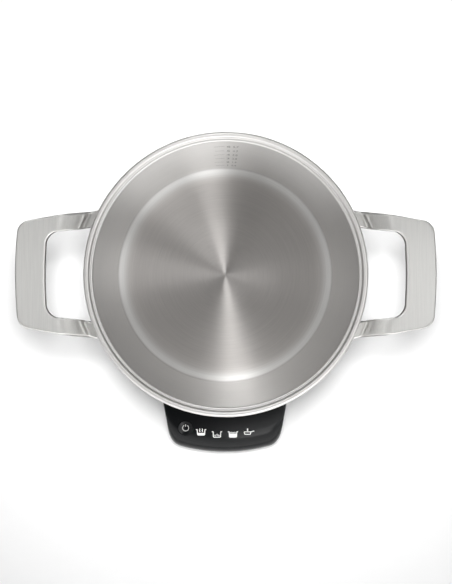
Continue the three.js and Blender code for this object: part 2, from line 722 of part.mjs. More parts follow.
function triacSink() {
  const back = solid(box(-42, -24, 78, 80, ON_BOARD, ON_BOARD + 18));
  return join(back, ...[-42, -36.7, -31.3, -26].map((x) => box(x, x + 2, 79, 90, ON_BOARD, ON_BOARD + 18)));
}

function electrics() {
  const group = new THREE.Group();
  const wire = roundSection(1.2, 6);
  const clampZ = ON_BOARD + 10 + GAP + 1.2;
  const pinEnd = 99.4;
  group.add(piece("power_board", powerBoard(), circuitBoard));
  group.add(piece("relay", box(-42, -22, 50, 66, ON_BOARD, ON_BOARD + 15), darkComponent));
  group.add(piece("supply_transformer", box(14, 42, 50, 72, ON_BOARD, ON_BOARD + 17), wireBlue));
  group.add(piece("supply_capacitor", rod(-6, 60, 7, ON_BOARD, ON_BOARD + 17), darkComponent));
  group.add(piece("triac_heat_sink", triacSink(), castAluminium));
  group.add(piece("terminal_block", terminalBlock(), wireGrey));
  group.add(piece("inlet_socket", inletSocket(), blackSatin));
  for (const [name, place] of Object.entries(INLET_PINS))
    group.add(piece(`inlet_${name}_pin`, inletPin(place), brass));
  const liveRoute = [[-7, pinEnd, 28], [-8, 94, 29], [-11, 88, clampZ]];
  const neutralRoute = [[7, pinEnd, 28], [8, 94, 29], [11, 88, clampZ]];
  const earthRoute = [[0, pinEnd, 32], [-1, 97, 32.4], [-6, 94, 34], [-45, 70, 36], [-49, 35, 34]];
  const sensorRoute = [[0, 0, 38], [0, 6, 30], [2, 24, 20], [4, 41.5, 15]];
  group.add(
    piece("live_lead", sweep(liveRoute, wire, 6), wireRed),
    piece("neutral_lead", sweep(neutralRoute, wire, 6), wireBlue),
    piece("earth_lead", sweep(earthRoute, wire, 14), wireGreen),
    piece("sensor_lead", sweep(sensorRoute, wire, 12), wireGrey),
  );
  const cableSection = [[-7, -0.5], [7, -0.5], [7, 0.5], [-7, 0.5]];
  const cableRoute = [
    [-20, -174.6, 22.8],
    [-20, -166, 22],
    [-20, -135, 13],
    [-20, -90, 11.5],
    [-20, 10, 11.5],
    [-20, 41.5, 14.8],
  ];
  group.add(piece("panel_cable", sweep(cableRoute, cableSection, 16), wireGrey));
  group.add(piece("control_board", controlBoard(), circuitBoard));
  group.add(piece("button_switch", buttonSwitch(), darkComponent));
  const spring = coil(6.4, 0.45, CONTROL_Z + BOARD_THICK + 0.9, BUTTON_ROOF - 0.8, 4);
  group.add(piece("button_spring", spring, zincSteel, BUTTON_X, BUTTON_Y));
  for (const key of [1, 2, 3, 4])
    group.add(piece(`light_guide_${key}`, lightGuide(), clearPlastic, ...keyPlace(key)));
  return group;
}

// ---- The moving pieces of the base -----------------------------------------------------------------

// Spring-loaded cap that the pot's bottom holds flush with the plate.
function sensorCap() {
  const inner = SENSOR_R - 1.4;
  return lathe(
    [
      [0, PLATE_TOP - 1.4],
      [inner, PLATE_TOP - 1.4],
      [inner, PLATE_TOP - 9],
      [SENSOR_R, PLATE_TOP - 9],
      [SENSOR_R, PLATE_TOP - 0.8],
      [SENSOR_R - 0.8, PLATE_TOP],
      [0, PLATE_TOP],
    ],
    24,
  );
}

// Hollow button cap cut from the nose's own surface, with a finger dish, a retaining flange and a stem.
function powerButton() {
  const dishR = 27;
  const dishDepth = 1.3;
  const skirtZ = NOSE_TOP - 10.5;
  const surface = NOSE_TOP + NOSE_TILT * (BUTTON_Y + NOSE_REACH - NOSE_ROLL);
  const plug = solid(noseBody(0, HOUSING_Z, 7)).intersect(
    solid(rod(BUTTON_X, BUTTON_Y, BUTTON_R, skirtZ, HOUSING_TOP, 24)),
  );
  const dish = new THREE.SphereGeometry(dishR, 32, 24);
  placed(dish, BUTTON_X, BUTTON_Y - 2.6, surface - dishDepth + dishR);
  const cap = join(cut(plug, dish), rod(BUTTON_X, BUTTON_Y, BUTTON_R + 1.4, skirtZ + 1, skirtZ + 2, 24));
  const hollow = rod(BUTTON_X, BUTTON_Y, BUTTON_R - 1.6, skirtZ - 1, BUTTON_ROOF, 24);
  return join(cut(cap, hollow), rod(BUTTON_X, BUTTON_Y, 2.5, PLUNGER_TOP + GAP, BUTTON_ROOF + 0.5, 12));
}

function movingPieces() {
  const group = new THREE.Group();
  group.add(piece("sensor_cap", sensorCap(), castAluminium));
  group.add(piece("power_button", powerButton(), blackGloss));
  group.add(piece("switch_plunger", rod(BUTTON_X, BUTTON_Y, 1.7, 26.4, PLUNGER_TOP, 12), wireRed));
  return group;
}

// ---- Assembly --------------------------------------------------------------------------------------

const cooker = new THREE.Group();
cooker.position.y = POT_AXIS_Y;
cooker.add(pot(), casings(), heater(), electrics(), movingPieces());

const root = new THREE.Group();
root.add(cooker);
export default root;
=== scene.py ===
"""Looks of an electric cooker: a stainless steel pot with two loop handles on a heating base with a gloss
black control nose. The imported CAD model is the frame; the pieces that show are rebuilt here as fine meshes.

Lengths are millimetres, measured from the pot's axis at the level of the table, until place() turns them
into the frame's metres.
"""

import json
import math

import bmesh
import bpy
from mathutils import Matrix, Vector


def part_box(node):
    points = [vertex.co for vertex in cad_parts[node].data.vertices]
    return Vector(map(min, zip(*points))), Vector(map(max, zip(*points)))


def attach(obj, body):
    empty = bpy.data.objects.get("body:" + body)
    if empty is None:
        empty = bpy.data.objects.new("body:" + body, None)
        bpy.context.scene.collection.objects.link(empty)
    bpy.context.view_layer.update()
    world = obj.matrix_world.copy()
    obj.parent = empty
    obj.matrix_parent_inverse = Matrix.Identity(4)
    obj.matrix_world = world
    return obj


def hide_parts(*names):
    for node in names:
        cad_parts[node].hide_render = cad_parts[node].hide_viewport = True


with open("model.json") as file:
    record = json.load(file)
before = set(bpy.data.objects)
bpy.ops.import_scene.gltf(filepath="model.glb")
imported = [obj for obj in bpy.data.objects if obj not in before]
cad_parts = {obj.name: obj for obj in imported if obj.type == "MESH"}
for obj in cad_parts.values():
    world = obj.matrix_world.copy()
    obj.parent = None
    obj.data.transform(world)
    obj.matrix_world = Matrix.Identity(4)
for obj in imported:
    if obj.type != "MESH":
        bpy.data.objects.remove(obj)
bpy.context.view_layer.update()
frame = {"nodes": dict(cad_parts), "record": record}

MM = 0.001


def node_box(node):
    """A CAD node's box in millimetres about the pot's axis."""
    low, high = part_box(node)
    return [[c / MM for c in (p[0], p[1] - AXIS_Y, p[2])] for p in (low, high)]


def middle(node):
    low, high = node_box(node)
    return [(a + b) / 2 for a, b in zip(low, high)]


POT_LOW, POT_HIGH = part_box("pot_shell")
AXIS_Y = (POT_LOW[1] + POT_HIGH[1]) / 2
RIM_OUT = (POT_HIGH[0] - POT_LOW[0]) / 2 / MM
RIM_TOP = POT_HIGH[2] / MM
POT_Z = POT_LOW[2] / MM

# The pot, as in the CAD model
POT_R = RIM_OUT - 9.0
POT_WALL = 1.2
POT_FLOOR = POT_Z + POT_WALL
POT_CORNER_REACH = 22.0
POT_CORNER_RISE = 8.0
BEAD_R = 2.9
BEAD_CENTRE = (RIM_OUT - BEAD_R, RIM_TOP - BEAD_R)
LEDGE_Z = BEAD_CENTRE[1] + 0.3

# The handles
GRIP_TOP = node_box("right_handle")[1][2]
HANDLE_OUT = node_box("right_handle")[1][0]
HANDLE_THICK = 5.5
HANDLE_DROP = 18.0
GRIP_WIDTH = 27.5
RAMP = (143.0, 168.0)
RAMP_BEND = 6.0
GRIP_BOW = 2.6
GRIP_BOW_R = 420.0
GRIP_HALF_OUT = 49.6
GRIP_HALF_IN = 39.3
GRIP_CORNER_OUT = 13.0
GRIP_CORNER_IN = 14.0
ARM_HALF_OUT = 66.8
ARM_HALF_IN = 51.6
PAD_TURN = 25.5
PAD_DEPTH = 2.3
PAD_EDGE = 0.6
# Faces of one section of the strap, counted from its inner edge
BEVEL_FACES = (2, 3, 4, 15, 16, 17)
# The side faces take a dark steel: painted shade along the strap's sides
SIDE_FACES = (0, 1, 18, 19, 20, 41)

# The base
HOUSING_R = node_box("base_housing")[1][0]
HOUSING_TOP = node_box("base_housing")[1][2]
HOUSING_Z = node_box("base_housing")[0][2]
SEAT_R = 114.8
TRAY_Z = node_box("bottom_tray")[0][2]
TRAY_TOP = HOUSING_Z - 0.3

# The control nose
NOSE_WALL_R = HOUSING_R + 0.3
NOSE_REACH = -node_box("control_panel")[0][1]
NOSE_FRONT_R = 208.0
NOSE_ARC = math.radians(15)
NOSE_BACK_Y = -90.0
NOSE_BACK_HALF = 88.2
NOSE_TAPER = 0.178
NOSE_CORNER_R = 19.0
NOSE_TOP = 41.0
NOSE_ROLL = 30.0
NOSE_SIDE_ROLL = 3.0
NOSE_TILT = 0.078
NOSE_ROLL_Z = HOUSING_Z + 2
NOSE_TOP_Y = NOSE_ROLL - NOSE_REACH
NOSE_BOW_Y = NOSE_FRONT_R - NOSE_REACH
BUTTON_X, BUTTON_Y, _ = middle("power_button")
BUTTON_R = 9.3
BUTTON_EDGE = 0.9
BUTTON_DISH = 1.25

PRINT_THICK = 0.06
QUART_HEIGHT = 19.28
LITRES_PER_QUART = 0.946

# The camera looks straight down from this far above the pot's ledge, a little off its axis
CAMERA_ABOVE_LEDGE = 556.0
CAMERA_OFFSET = (-3.5, -2.35)
CAMERA_LENS = 36.48
CAMERA_SHIFT = (0.0067, -0.0257)

# Brightness of the surroundings: sine of the height above the table, level
SKY = ((0.52, 0.03), (0.66, 1.0), (0.82, 0.95), (0.93, 0.28), (1.0, 0.12))
SKY_STRENGTH = 1.42
FRONT_GLOW = 1.5
CARD_DIRECTION = (0.0, -0.39, 0.92)

# Soft boxes: width and height in metres, azimuth and elevation in degrees, watts
SOFT_BOXES = {
    "back": ((0.3, 0.9), 96, 52, 4.8),
    "front": ((0.35, 0.7), -80, 46, 4.0),
    "front_right": ((0.5, 0.5), -52, 48, 2.4),
    "left": ((0.6, 0.5), 180, 46, 0.5),
    "right": ((0.5, 0.9), -4, 50, 2.2),
}
SOFT_BOX_DISTANCE = 1.6
FLOOR_HALF = 3000

# The pot's floor, the painted highlight ring that makes its corner lighter, and the gain on its wall
FLOOR_STEEL = (0.68, 0.655, 0.635)
CORNER_PAINTED_HIGHLIGHT = (1.30, 1.34, 1.36)
WALL_GAIN = (0.93, 0.95, 0.96)


# ---- Camera, light and floor -----------------------------------------------------------------------


def add_camera():
    data = bpy.data.cameras.new("camera")
    data.lens = CAMERA_LENS
    data.sensor_width = 36
    data.shift_x, data.shift_y = CAMERA_SHIFT
    camera = bpy.data.objects.new("camera", data)
    camera.location = place((*CAMERA_OFFSET, LEDGE_Z + CAMERA_ABOVE_LEDGE))
    bpy.context.scene.collection.objects.link(camera)
    bpy.context.scene.camera = camera


def add_light(name, size, focus, azimuth, elevation, distance, power):
    """A soft box that looks at the focus; azimuth in degrees from +X, elevation above the table."""
    data = bpy.data.lights.new(name, "AREA")
    data.shape = "RECTANGLE"
    data.size, data.size_y = size
    data.energy = power
    light = bpy.data.objects.new(name, data)
    turn, lift = math.radians(azimuth), math.radians(elevation)
    away = Vector((math.cos(lift) * math.cos(turn), math.cos(lift) * math.sin(turn), math.sin(lift)))
    light.location = focus + away * distance
    light.rotation_euler = away.to_track_quat("Z", "Y").to_euler()
    bpy.context.scene.collection.objects.link(light)
    return light


def sky_level(nodes, split, direction):
    """A bright ring above the table, a low glow in front, and a black card over the control nose."""
    ring = nodes.add("ValToRGB", i0=split["Z"])
    stops = ring.color_ramp.elements
    while len(stops) < len(SKY):
        stops.new(1.0)
    for stop, (height, level) in zip(stops, SKY):
        stop.position = height
        stop.color = (level, level, level, 1)
    ahead = nodes.fade(nodes.math("MULTIPLY", split["Y"], -1.0), 0.35, 0.75)
    low = nodes.fade(split["Z"], 0.66, 0.5)
    glow = nodes.math("MULTIPLY", nodes.math("MULTIPLY", ahead, low), FRONT_GLOW)
    card = nodes.add("VectorMath", {"operation": "DOT_PRODUCT"}, i0=direction, i1=CARD_DIRECTION)
    open_sky = nodes.math("SUBTRACT", 1.0, nodes.fade(card.outputs["Value"], 0.90, 0.97))
    return nodes.math("ADD", nodes.math("MULTIPLY", ring.outputs[0], open_sky), glow)


def add_studio():
    """The surroundings, soft boxes round the object and one overhead for the table's soft shadows."""
    world = bpy.data.worlds.new("studio")
    world.use_nodes = True
    nodes = Nodes("studio", world)
    direction = nodes.add("TexCoord").outputs["Generated"]
    split = nodes.add("SeparateXYZ", Vector=direction).outputs
    background = nodes.tree.nodes["Background"]
    level = nodes.math("MULTIPLY", sky_level(nodes, split, direction), SKY_STRENGTH)
    nodes.feed(background.inputs["Strength"], level)
    background.inputs["Color"].default_value = (1.0, 1.0, 1.0, 1)
    world.cycles_visibility.diffuse = False
    bpy.context.scene.world = world
    bpy.context.scene.view_settings.view_transform = "Standard"

    focus = Vector((0, AXIS_Y, 0.12))
    for name, (size, azimuth, elevation, power) in SOFT_BOXES.items():
        add_light(name, size, focus, azimuth, elevation, SOFT_BOX_DISTANCE, power)
    above = place((*CAMERA_OFFSET, 0)) + Vector((0, 0.06, 0))
    top = add_light("top", (0.17, 0.17), above, 90, 90, 0.78, 11.0)
    top.visible_glossy = False

    corners = [(x * FLOOR_HALF, y * FLOOR_HALF, 0) for x, y in ((-1, -1), (1, -1), (1, 1), (-1, 1))]
    mesh_object("floor", corners, [(0, 1, 2, 3)], floor_material())


# ---- Mesh helpers ----------------------------------------------------------------------------------


def place(point):
    x, y, z = point
    return Vector((x * MM, AXIS_Y + y * MM, z * MM))


def smooth(mesh, sharp):
    """Smooth shading, with edges that turn by more than an angle left sharp."""
    mesh.shade_smooth()
    mesh.set_sharp_from_angle(angle=math.radians(sharp))


def mesh_object(name, points, faces, material=None, sharp=35):
    mesh = bpy.data.meshes.new(name)
    mesh.from_pydata([place(p) for p in points], [], faces)
    smooth(mesh, sharp)
    mesh.update()
    if material:
        mesh.materials.append(material)
    piece = bpy.data.objects.new(name, mesh)
    bpy.context.scene.collection.objects.link(piece)
    return piece


def finish_piece(piece, body, slot, *nodes):
    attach(piece, body)
    if nodes:
        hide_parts(*nodes)


def arc(x, y, radius, start, end, steps):
    """Points of an arc, angles in degrees, both ends included."""
    angles = [math.radians(start + (end - start) * i / steps) for i in range(steps + 1)]
    return [(x + radius * math.cos(a), y + radius * math.sin(a)) for a in angles]


def revolve(profile, segments=192, centre=(0, 0)):
    """A closed surface of revolution from [radius, z] pairs; one that starts on the axis ends on it too."""
    on_axis = profile[0][0] == 0
    ring_profile = profile[1:-1] if on_axis else profile
    points = []
    for r, z in ring_profile:
        for i in range(segments):
            angle = 2 * math.pi * i / segments
            points.append((centre[0] + r * math.cos(angle), centre[1] + r * math.sin(angle), z))
    faces = []
    levels = len(ring_profile)
    for level in range(levels - 1 if on_axis else levels):
        below, above = level * segments, (level + 1) % levels * segments
        for i in range(segments):
            j = (i + 1) % segments
            faces.append((below + i, below + j, above + j, above + i))
    if on_axis:
        last = (levels - 1) * segments
        for ring, (_, z), outward in ((0, profile[0], False), (last, profile[-1], True)):
            centre_index = len(points)
            points.append((centre[0], centre[1], z))
            for i in range(segments):
                j = (i + 1) % segments
                edge = (ring + i, ring + j) if outward else (ring + j, ring + i)
                faces.append((*edge, centre_index))
    return points, faces


def rounded(corners, steps):
    """A polygon whose corners (x, y, radius) are rounded; radius 0 stays sharp."""
    outline = []
    for i, (x, y, radius) in enumerate(corners):
        if not radius:
            outline.append((x, y))
            continue
        corner = Vector((x, y))
        before = (Vector(corners[i - 1][:2]) - corner).normalized()
        after = (Vector(corners[(i + 1) % len(corners)][:2]) - corner).normalized()
        half = before.angle(after) / 2
        centre = corner + (before + after).normalized() * radius / math.sin(half)
        start = corner + before * radius / math.tan(half) - centre
        end = corner + after * radius / math.tan(half) - centre
        first = math.degrees(math.atan2(start.y, start.x))
        turn = math.degrees(math.atan2(end.y, end.x)) - first
        turn = (turn + 180) % 360 - 180
        outline += arc(centre.x, centre.y, radius, first, first + turn, steps)
    return outline


def loft_faces(rows, columns, closed=True):
    """Quads between rows of points; each row has the same number of columns."""
    faces = []
    for row in range(rows - 1):
        for i in range(columns if closed else columns - 1):
            j = (i + 1) % columns
            a, b = row * columns, (row + 1) * columns
            faces.append((a + i, a + j, b + j, b + i))
    return faces


def closed_loft(rows, columns):
    """Faces of a lofted solid: quads between its rows and a cap at each end."""
    first = tuple(range(columns - 1, -1, -1))
    last = tuple(range((rows - 1) * columns, rows * columns))
    return loft_faces(rows, columns) + [first, last]


def modify(piece, kind, **settings):
    """Adds a modifier and applies it to the mesh."""
    modifier = piece.modifiers.new(kind, kind)
    for key, value in settings.items():
        setattr(modifier, key, value)
    depsgraph = bpy.context.evaluated_depsgraph_get()
    mesh = bpy.data.meshes.new_from_object(piece.evaluated_get(depsgraph))
    piece.modifiers.clear()
    old = piece.data
    piece.data = mesh
    bpy.data.meshes.remove(old)


def cut(piece, cutters, sharp=35):
    """Takes closed (points, faces) shapes out of a piece."""
    for points, faces in cutters:
        tool = mesh_object("cutter", points, faces)
        modify(piece, "BOOLEAN", object=tool, operation="DIFFERENCE", solver="EXACT")
        bpy.data.objects.remove(tool)
    smooth(piece.data, sharp)


def bevel(piece, width, segments, angle):
    """Rounds the edges that turn by more than an angle."""
    limit = math.radians(angle)
    modify(piece, "BEVEL", width=width * MM, segments=segments, limit_method="ANGLE", angle_limit=limit)
    smooth(piece.data, 60)


def prism(outline, low, high):
    points = [(x, y, z) for z in (low, high) for x, y in outline]
    return points, closed_loft(2, len(outline))


def block(x0, x1, y0, y1, z0, z1):
    return prism([(x0, y0), (x1, y0), (x1, y1), (x0, y1)], z0, z1)


def turned(shape, angle):
    """A (points, faces) shape turned about the pot's axis."""
    turn = Matrix.Rotation(angle, 3, "Z")
    points, faces = shape
    return [tuple(turn @ Vector(p)) for p in points], faces


def cylinder(x, y, radius, low, high, segments=48):
    outline = arc(x, y, radius, 0, 360 - 360 / segments, segments - 1)
    return prism(outline, low, high)


def joined(shapes):
    points, faces = [], []
    for shape_points, shape_faces in shapes:
        base = len(points)
        points += list(shape_points)
        faces += [tuple(base + i for i in face) for face in shape_faces]
    return points, faces


# ---- Materials -------------------------------------------------------------------------------------


class Nodes:
    """A small wrapper that adds and links shader nodes."""

    def __init__(self, name, world=None):
        self.material = world or bpy.data.materials.new(name)
        self.material.use_nodes = True
        self.tree = self.material.node_tree
        self.shader = self.tree.nodes.get("Principled BSDF")

    def add(self, kind, settings=None, **inputs):
        node = self.tree.nodes.new("ShaderNode" + kind)
        for key, value in (settings or {}).items():
            setattr(node, key, value)
        for key, value in inputs.items():
            numbered = key[0] == "i" and key[1:].isdigit()
            self.feed(node.inputs[int(key[1:]) if numbered else key.replace("_", " ")], value)
        return node

    def feed(self, socket, value):
        if isinstance(value, bpy.types.NodeSocket):
            self.tree.links.new(value, socket)
        else:
            socket.default_value = value

    def math(self, operation, a, b=0.0):
        return self.add("Math", {"operation": operation}, i0=a, i1=b).outputs[0]

    def ramp(self, value, low, high):
        """Maps 0..1 onto low..high."""
        return self.add("MapRange", Value=value, To_Min=low, To_Max=high).outputs[0]

    def fade(self, value, start, end):
        """Rises smoothly from 0 to 1 as the value goes from start to end."""
        settings = {"interpolation_type": "SMOOTHSTEP"}
        return self.add("MapRange", settings, Value=value, From_Min=start, From_Max=end).outputs[0]

    def mix(self, factor, a, b):
        a, b = ((*c, 1) if isinstance(c, tuple) else c for c in (a, b))
        return self.add("Mix", {"data_type": "RGBA"}, Factor=factor, i6=a, i7=b).outputs[2]

    def noise(self, vector, scale, detail=2.0, dimensions="3D", w=None):
        inputs = {} if w is None else {"W": w}
        settings = {"noise_dimensions": dimensions}
        node = self.add("TexNoise", settings, Vector=vector, Scale=scale, Detail=detail, **inputs)
        return node.outputs["Fac"]

    def position(self):
        return self.add("TexCoord").outputs["Object"]

    def stretched(self, scale):
        """Object coordinates scaled per axis, for grain that runs along the smallest scale."""
        return self.add("Mapping", Vector=self.position(), Scale=scale).outputs[0]

    def bump(self, height, strength, distance):
        node = self.add("Bump", Height=height, Strength=strength, Distance=distance)
        self.set(Normal=node.outputs[0])

    def set(self, **values):
        for key, value in values.items():
            self.feed(self.shader.inputs[key.replace("_", " ")], value)
        return self


def round_grain(nodes, across, along):
    """Noise in rings about the pot's axis: fine across the rings, slow along them."""
    split = nodes.add("SeparateXYZ", Vector=nodes.position()).outputs
    y = nodes.math("SUBTRACT", split[1], AXIS_Y)
    squares = nodes.math("ADD", nodes.math("POWER", split[0], 2.0), nodes.math("POWER", y, 2.0))
    radius = nodes.math("SQRT", squares)
    safe = nodes.math("MAXIMUM", radius, 0.0005)
    around_x = nodes.math("MULTIPLY", nodes.math("DIVIDE", split[0], safe), along)
    around_y = nodes.math("MULTIPLY", nodes.math("DIVIDE", y, safe), along)
    ring = nodes.math("MULTIPLY", radius, across)
    rings = nodes.add("CombineXYZ", X=around_x, Y=around_y, Z=ring).outputs[0]
    return nodes.noise(rings, 1.0, 3.0, "4D", nodes.math("MULTIPLY", split[2], across))


def axial_tangent(nodes, axis):
    return nodes.add("Tangent", {"direction_type": "RADIAL", "axis": axis}).outputs[0]


def steel(name, colour, roughness, rotation, grain):
    """Brushed steel; grain(nodes, scale) gives brush marks as a 0..1 value, finer as the scale grows."""
    nodes = Nodes(name)
    fine = grain(nodes, 9000.0)
    coarse = grain(nodes, 900.0)
    smudges = nodes.noise(nodes.position(), 18.0, 3.0)
    dark = tuple(c * 0.84 for c in colour)
    light = tuple(c * 1.12 for c in colour)
    marks = nodes.math("ADD", nodes.math("MULTIPLY", coarse, 0.7), nodes.math("MULTIPLY", fine, 0.3))
    unevenness = nodes.math("ADD", nodes.ramp(coarse, -0.07, 0.07), nodes.ramp(smudges, -0.02, 0.02))
    nodes.set(
        Base_Color=nodes.mix(marks, dark, light),
        Metallic=1.0,
        Roughness=nodes.math("ADD", unevenness, roughness),
        Anisotropic=1.0,
        Anisotropic_Rotation=rotation,
    )
    nodes.bump(fine, 0.12, 0.00002)
    return nodes


def ring_steel(name, colour=FLOOR_STEEL, roughness=0.45):
    """Steel brushed in rings about the pot's axis."""
    nodes = steel(name, colour, roughness, 0.25, lambda n, scale: round_grain(n, scale, 2.5))
    return nodes.set(Tangent=axial_tangent(nodes, "Z"))


def pot_steel():
    """The pot's steel: a darker brushed floor, a corner painted lighter as a painted highlight ring, and the
    wall's own gain.
    """
    nodes = ring_steel("pot_steel")
    height = nodes.add("SeparateXYZ", Vector=nodes.position()).outputs[2]
    # Painted highlight: by height, the colour rises from the floor to the corner's lighter gain, then falls
    # to the wall's gain
    lift = nodes.fade(height, (POT_FLOOR + 0.1) * MM, (POT_FLOOR + 3) * MM)
    fall = nodes.fade(height, (POT_FLOOR + 4) * MM, (POT_FLOOR + 6.5) * MM)
    gain = nodes.mix(lift, (1, 1, 1), nodes.mix(fall, CORNER_PAINTED_HIGHLIGHT, WALL_GAIN))
    floor_colour = nodes.shader.inputs["Base Color"].links[0].from_socket
    multiply = {"data_type": "RGBA", "blend_type": "MULTIPLY"}
    graded = nodes.add("Mix", multiply, i0=1.0, i6=floor_colour, i7=gain).outputs[2]
    return nodes.set(Base_Color=graded).material


def speckled(name, colours, roughness, tint, grain, bump, by_tint=False, **fixed):
    """One noise tints the colour and one makes the bump; roughness follows the tint or the grain."""
    nodes = Nodes(name)
    tint, grain = (nodes.noise(nodes.position(), *scale_detail) for scale_detail in (tint, grain))
    nodes.set(
        Base_Color=nodes.mix(tint, *colours),
        Roughness=nodes.ramp(tint if by_tint else grain, *roughness),
        **fixed,
    )
    nodes.bump(grain, *bump)
    return nodes.material


def polished_steel():
    """Steel polished to a soft shine, with faint clouds."""
    colours = ((0.62, 0.61, 0.595), (0.68, 0.67, 0.655))
    clouds, fine = (60.0, 3.0), (2400.0, 2.0)
    return speckled("polished_steel", colours, (0.42, 0.50), clouds, fine, (0.05, 0.00001), Metallic=1.0)


def handle_steel(name="handle_steel", colour=(0.88, 0.875, 0.85)):
    """Steel brushed along Y."""

    def grain(nodes, scale):
        return nodes.noise(nodes.stretched((1.0, 0.03, 1.0)), scale, 3.0)

    nodes = steel(name, colour, 0.45, 0.0, grain)
    return nodes.set(Tangent=axial_tangent(nodes, "Y")).material


def moulded(name, colour, roughness, grain_scale, grain_depth):
    """Moulded plastic with a fine spark-eroded grain."""
    light = tuple(c * 1.5 + 0.003 for c in colour)
    rough = (roughness - 0.07, roughness + 0.07)
    return speckled(name, (colour, light), rough, (22.0, 4.0), (grain_scale, 4.0), (0.35, grain_depth))


def gloss_black():
    colours = ((0.004, 0.0045, 0.005), (0.006, 0.0065, 0.007))
    haze, ripple, bump = (35.0, 4.0), (160.0, 2.0), (0.05, 0.00003)
    level = 0.15
    return speckled("gloss_black", colours, (0.16, 0.20), haze, ripple, bump, True, Specular_IOR_Level=level)


def rubber_material():
    colours = ((0.018, 0.018, 0.018), (0.035, 0.035, 0.034))
    grain = (2500.0, 3.0)
    return speckled("foot_rubber", colours, (0.75, 0.95), grain, grain, (0.4, 0.00005))


def silicone_material():
    colours = ((0.16, 0.165, 0.17), (0.21, 0.215, 0.22))
    grain = (900.0, 3.0)
    return speckled("grey_silicone", colours, (0.5, 0.65), grain, grain, (0.15, 0.00003))


def cast_aluminium():
    """Cast and then turned: rings, with fine pits between them."""
    nodes = Nodes("turned_aluminium")
    rings = round_grain(nodes, 2600.0, 1.2)
    pits = nodes.noise(nodes.position(), 1400.0, 2.0)
    nodes.set(
        Base_Color=nodes.mix(rings, (0.40, 0.40, 0.41), (0.50, 0.50, 0.51)),
        Metallic=1.0,
        Roughness=nodes.ramp(pits, 0.36, 0.5),
        Anisotropic=0.6,
        Anisotropic_Rotation=0.25,
        Tangent=axial_tangent(nodes, "Z"),
    )
    nodes.bump(rings, 0.3, 0.00004)
    return nodes.material


def plated(name, colour, roughness):
    """Zinc or brass plating with faint cloudiness."""
    colours = (tuple(c * 0.85 for c in colour), colour)
    rough = (roughness, roughness + 0.15)
    return speckled(name, colours, rough, (240.0, 4.0), (2600.0, 2.0), (0.1, 0.00003), True, Metallic=1.0)


def circuit_board():
    """Green solder mask with lighter tracks under it."""
    nodes = Nodes("solder_mask")
    tracks = nodes.add("TexBrick", Vector=nodes.position(), Scale=220.0).outputs["Fac"]
    speckle = nodes.noise(nodes.position(), 800.0, 2.0)
    base = nodes.mix(speckle, (0.012, 0.09, 0.035), (0.016, 0.11, 0.045))
    nodes.set(Base_Color=nodes.mix(tracks, base, (0.05, 0.2, 0.08)), Roughness=0.4)
    nodes.bump(tracks, 0.3, 0.00003)
    return nodes.material


def clear_acrylic():
    nodes = Nodes("clear_acrylic")
    haze = nodes.noise(nodes.position(), 500.0, 2.0)
    nodes.set(
        Base_Color=nodes.mix(haze, (0.78, 0.8, 0.82), (0.86, 0.88, 0.9)),
        Roughness=nodes.ramp(haze, 0.08, 0.2),
    )
    return nodes.material


def print_material(name, colour):
    """Printed or etched marks, slightly uneven."""
    nodes = Nodes(name)
    grain = nodes.noise(nodes.position(), 1800.0, 2.0)
    nodes.set(Base_Color=nodes.mix(grain, tuple(c * 0.88 for c in colour), colour), Roughness=0.55)
    return nodes.material


def floor_material():
    nodes = Nodes("studio_floor")
    grain = nodes.noise(nodes.position(), 40.0, 2.0)
    colour = nodes.mix(grain, (0.71, 0.71, 0.71), (0.73, 0.73, 0.73))
    nodes.set(Base_Color=colour, Roughness=0.9, Specular_IOR_Level=0.0)
    return nodes.material


# ---- The pot ---------------------------------------------------------------------------------------


def pot_corner(offset, start, end):
    """Elliptical corner between floor and wall, at an offset out from the pot's inner surface."""
    reach, rise = POT_CORNER_REACH + offset, POT_CORNER_RISE + offset
    middle_r, middle_z = POT_R - POT_CORNER_REACH, POT_FLOOR + POT_CORNER_RISE
    return [(middle_r + x * reach, middle_z + z * rise) for x, z in arc(0, 0, 1, start, end, 24)]


def pot_profile():
    """Half section of the deep-drawn shell, outside up to the rolled rim and back down inside."""
    corner_r = POT_R - POT_CORNER_REACH
    outer = POT_R + POT_WALL
    bead_in = BEAD_CENTRE[0] - BEAD_R
    return [
        *[(corner_r * i / 3, POT_Z) for i in (0, 1, 2)],
        *pot_corner(POT_WALL, -90, 0),
        *[(outer, LEDGE_Z - depth) for depth in (90, 45, 8)],
        *arc(outer + 4.5, LEDGE_Z - 6.8, 4.5, 180, 115, 6),
        *arc(*BEAD_CENTRE, BEAD_R, -66, 160, 22),
        (bead_in - 0.12, LEDGE_Z + 0.35),
        (bead_in - 0.45, LEDGE_Z + 0.05),
        (bead_in - 0.8, LEDGE_Z),
        *arc(POT_R + 2, LEDGE_Z - 2, 2, 90, 180, 8),
        *[(POT_R, LEDGE_Z - depth) for depth in (8, 45, 90)],
        *pot_corner(0, 0, -90),
        *[(corner_r * i / 3, POT_FLOOR) for i in (2, 1, 0)],
    ]


def add_pot(polished):
    pot = mesh_object("stainless_pot", *revolve(pot_profile(), 256), pot_steel(), sharp=50)
    pot.data.materials.append(polished)
    for polygon in pot.data.polygons:
        if polygon.center.z > (LEDGE_Z - 1.2) * MM:
            polygon.material_index = 1
    finish_piece(pot, "pot", "brushed_steel", "pot_shell")


def add_capsule():
    """Pressed cap of the sandwich bottom, with two shallow ring beads on its underside."""
    low, high = node_box("base_capsule_cap")
    radius, bottom, top = high[0], low[2], high[2]
    beads = []
    for r in (34, 78):
        beads += [(r + 3 * x, bottom + 0.5 * z) for x, z in arc(0, 0, 1, 180, 0, 8)]
    profile = [
        (0, bottom),
        *beads,
        *arc(radius - 1.6, bottom + 1.6, 1.6, -90, 0, 8),
        (radius, top),
        (radius - 1, top),
        (radius - 1, bottom + 1.6),
        (radius - 1.6, bottom + 1),
        (0, bottom + 1),
    ]
    cap = mesh_object("capsule_cap", *revolve(profile), ring_steel("capsule_steel").material)
    finish_piece(cap, "pot", "brushed_steel", "base_capsule_cap")


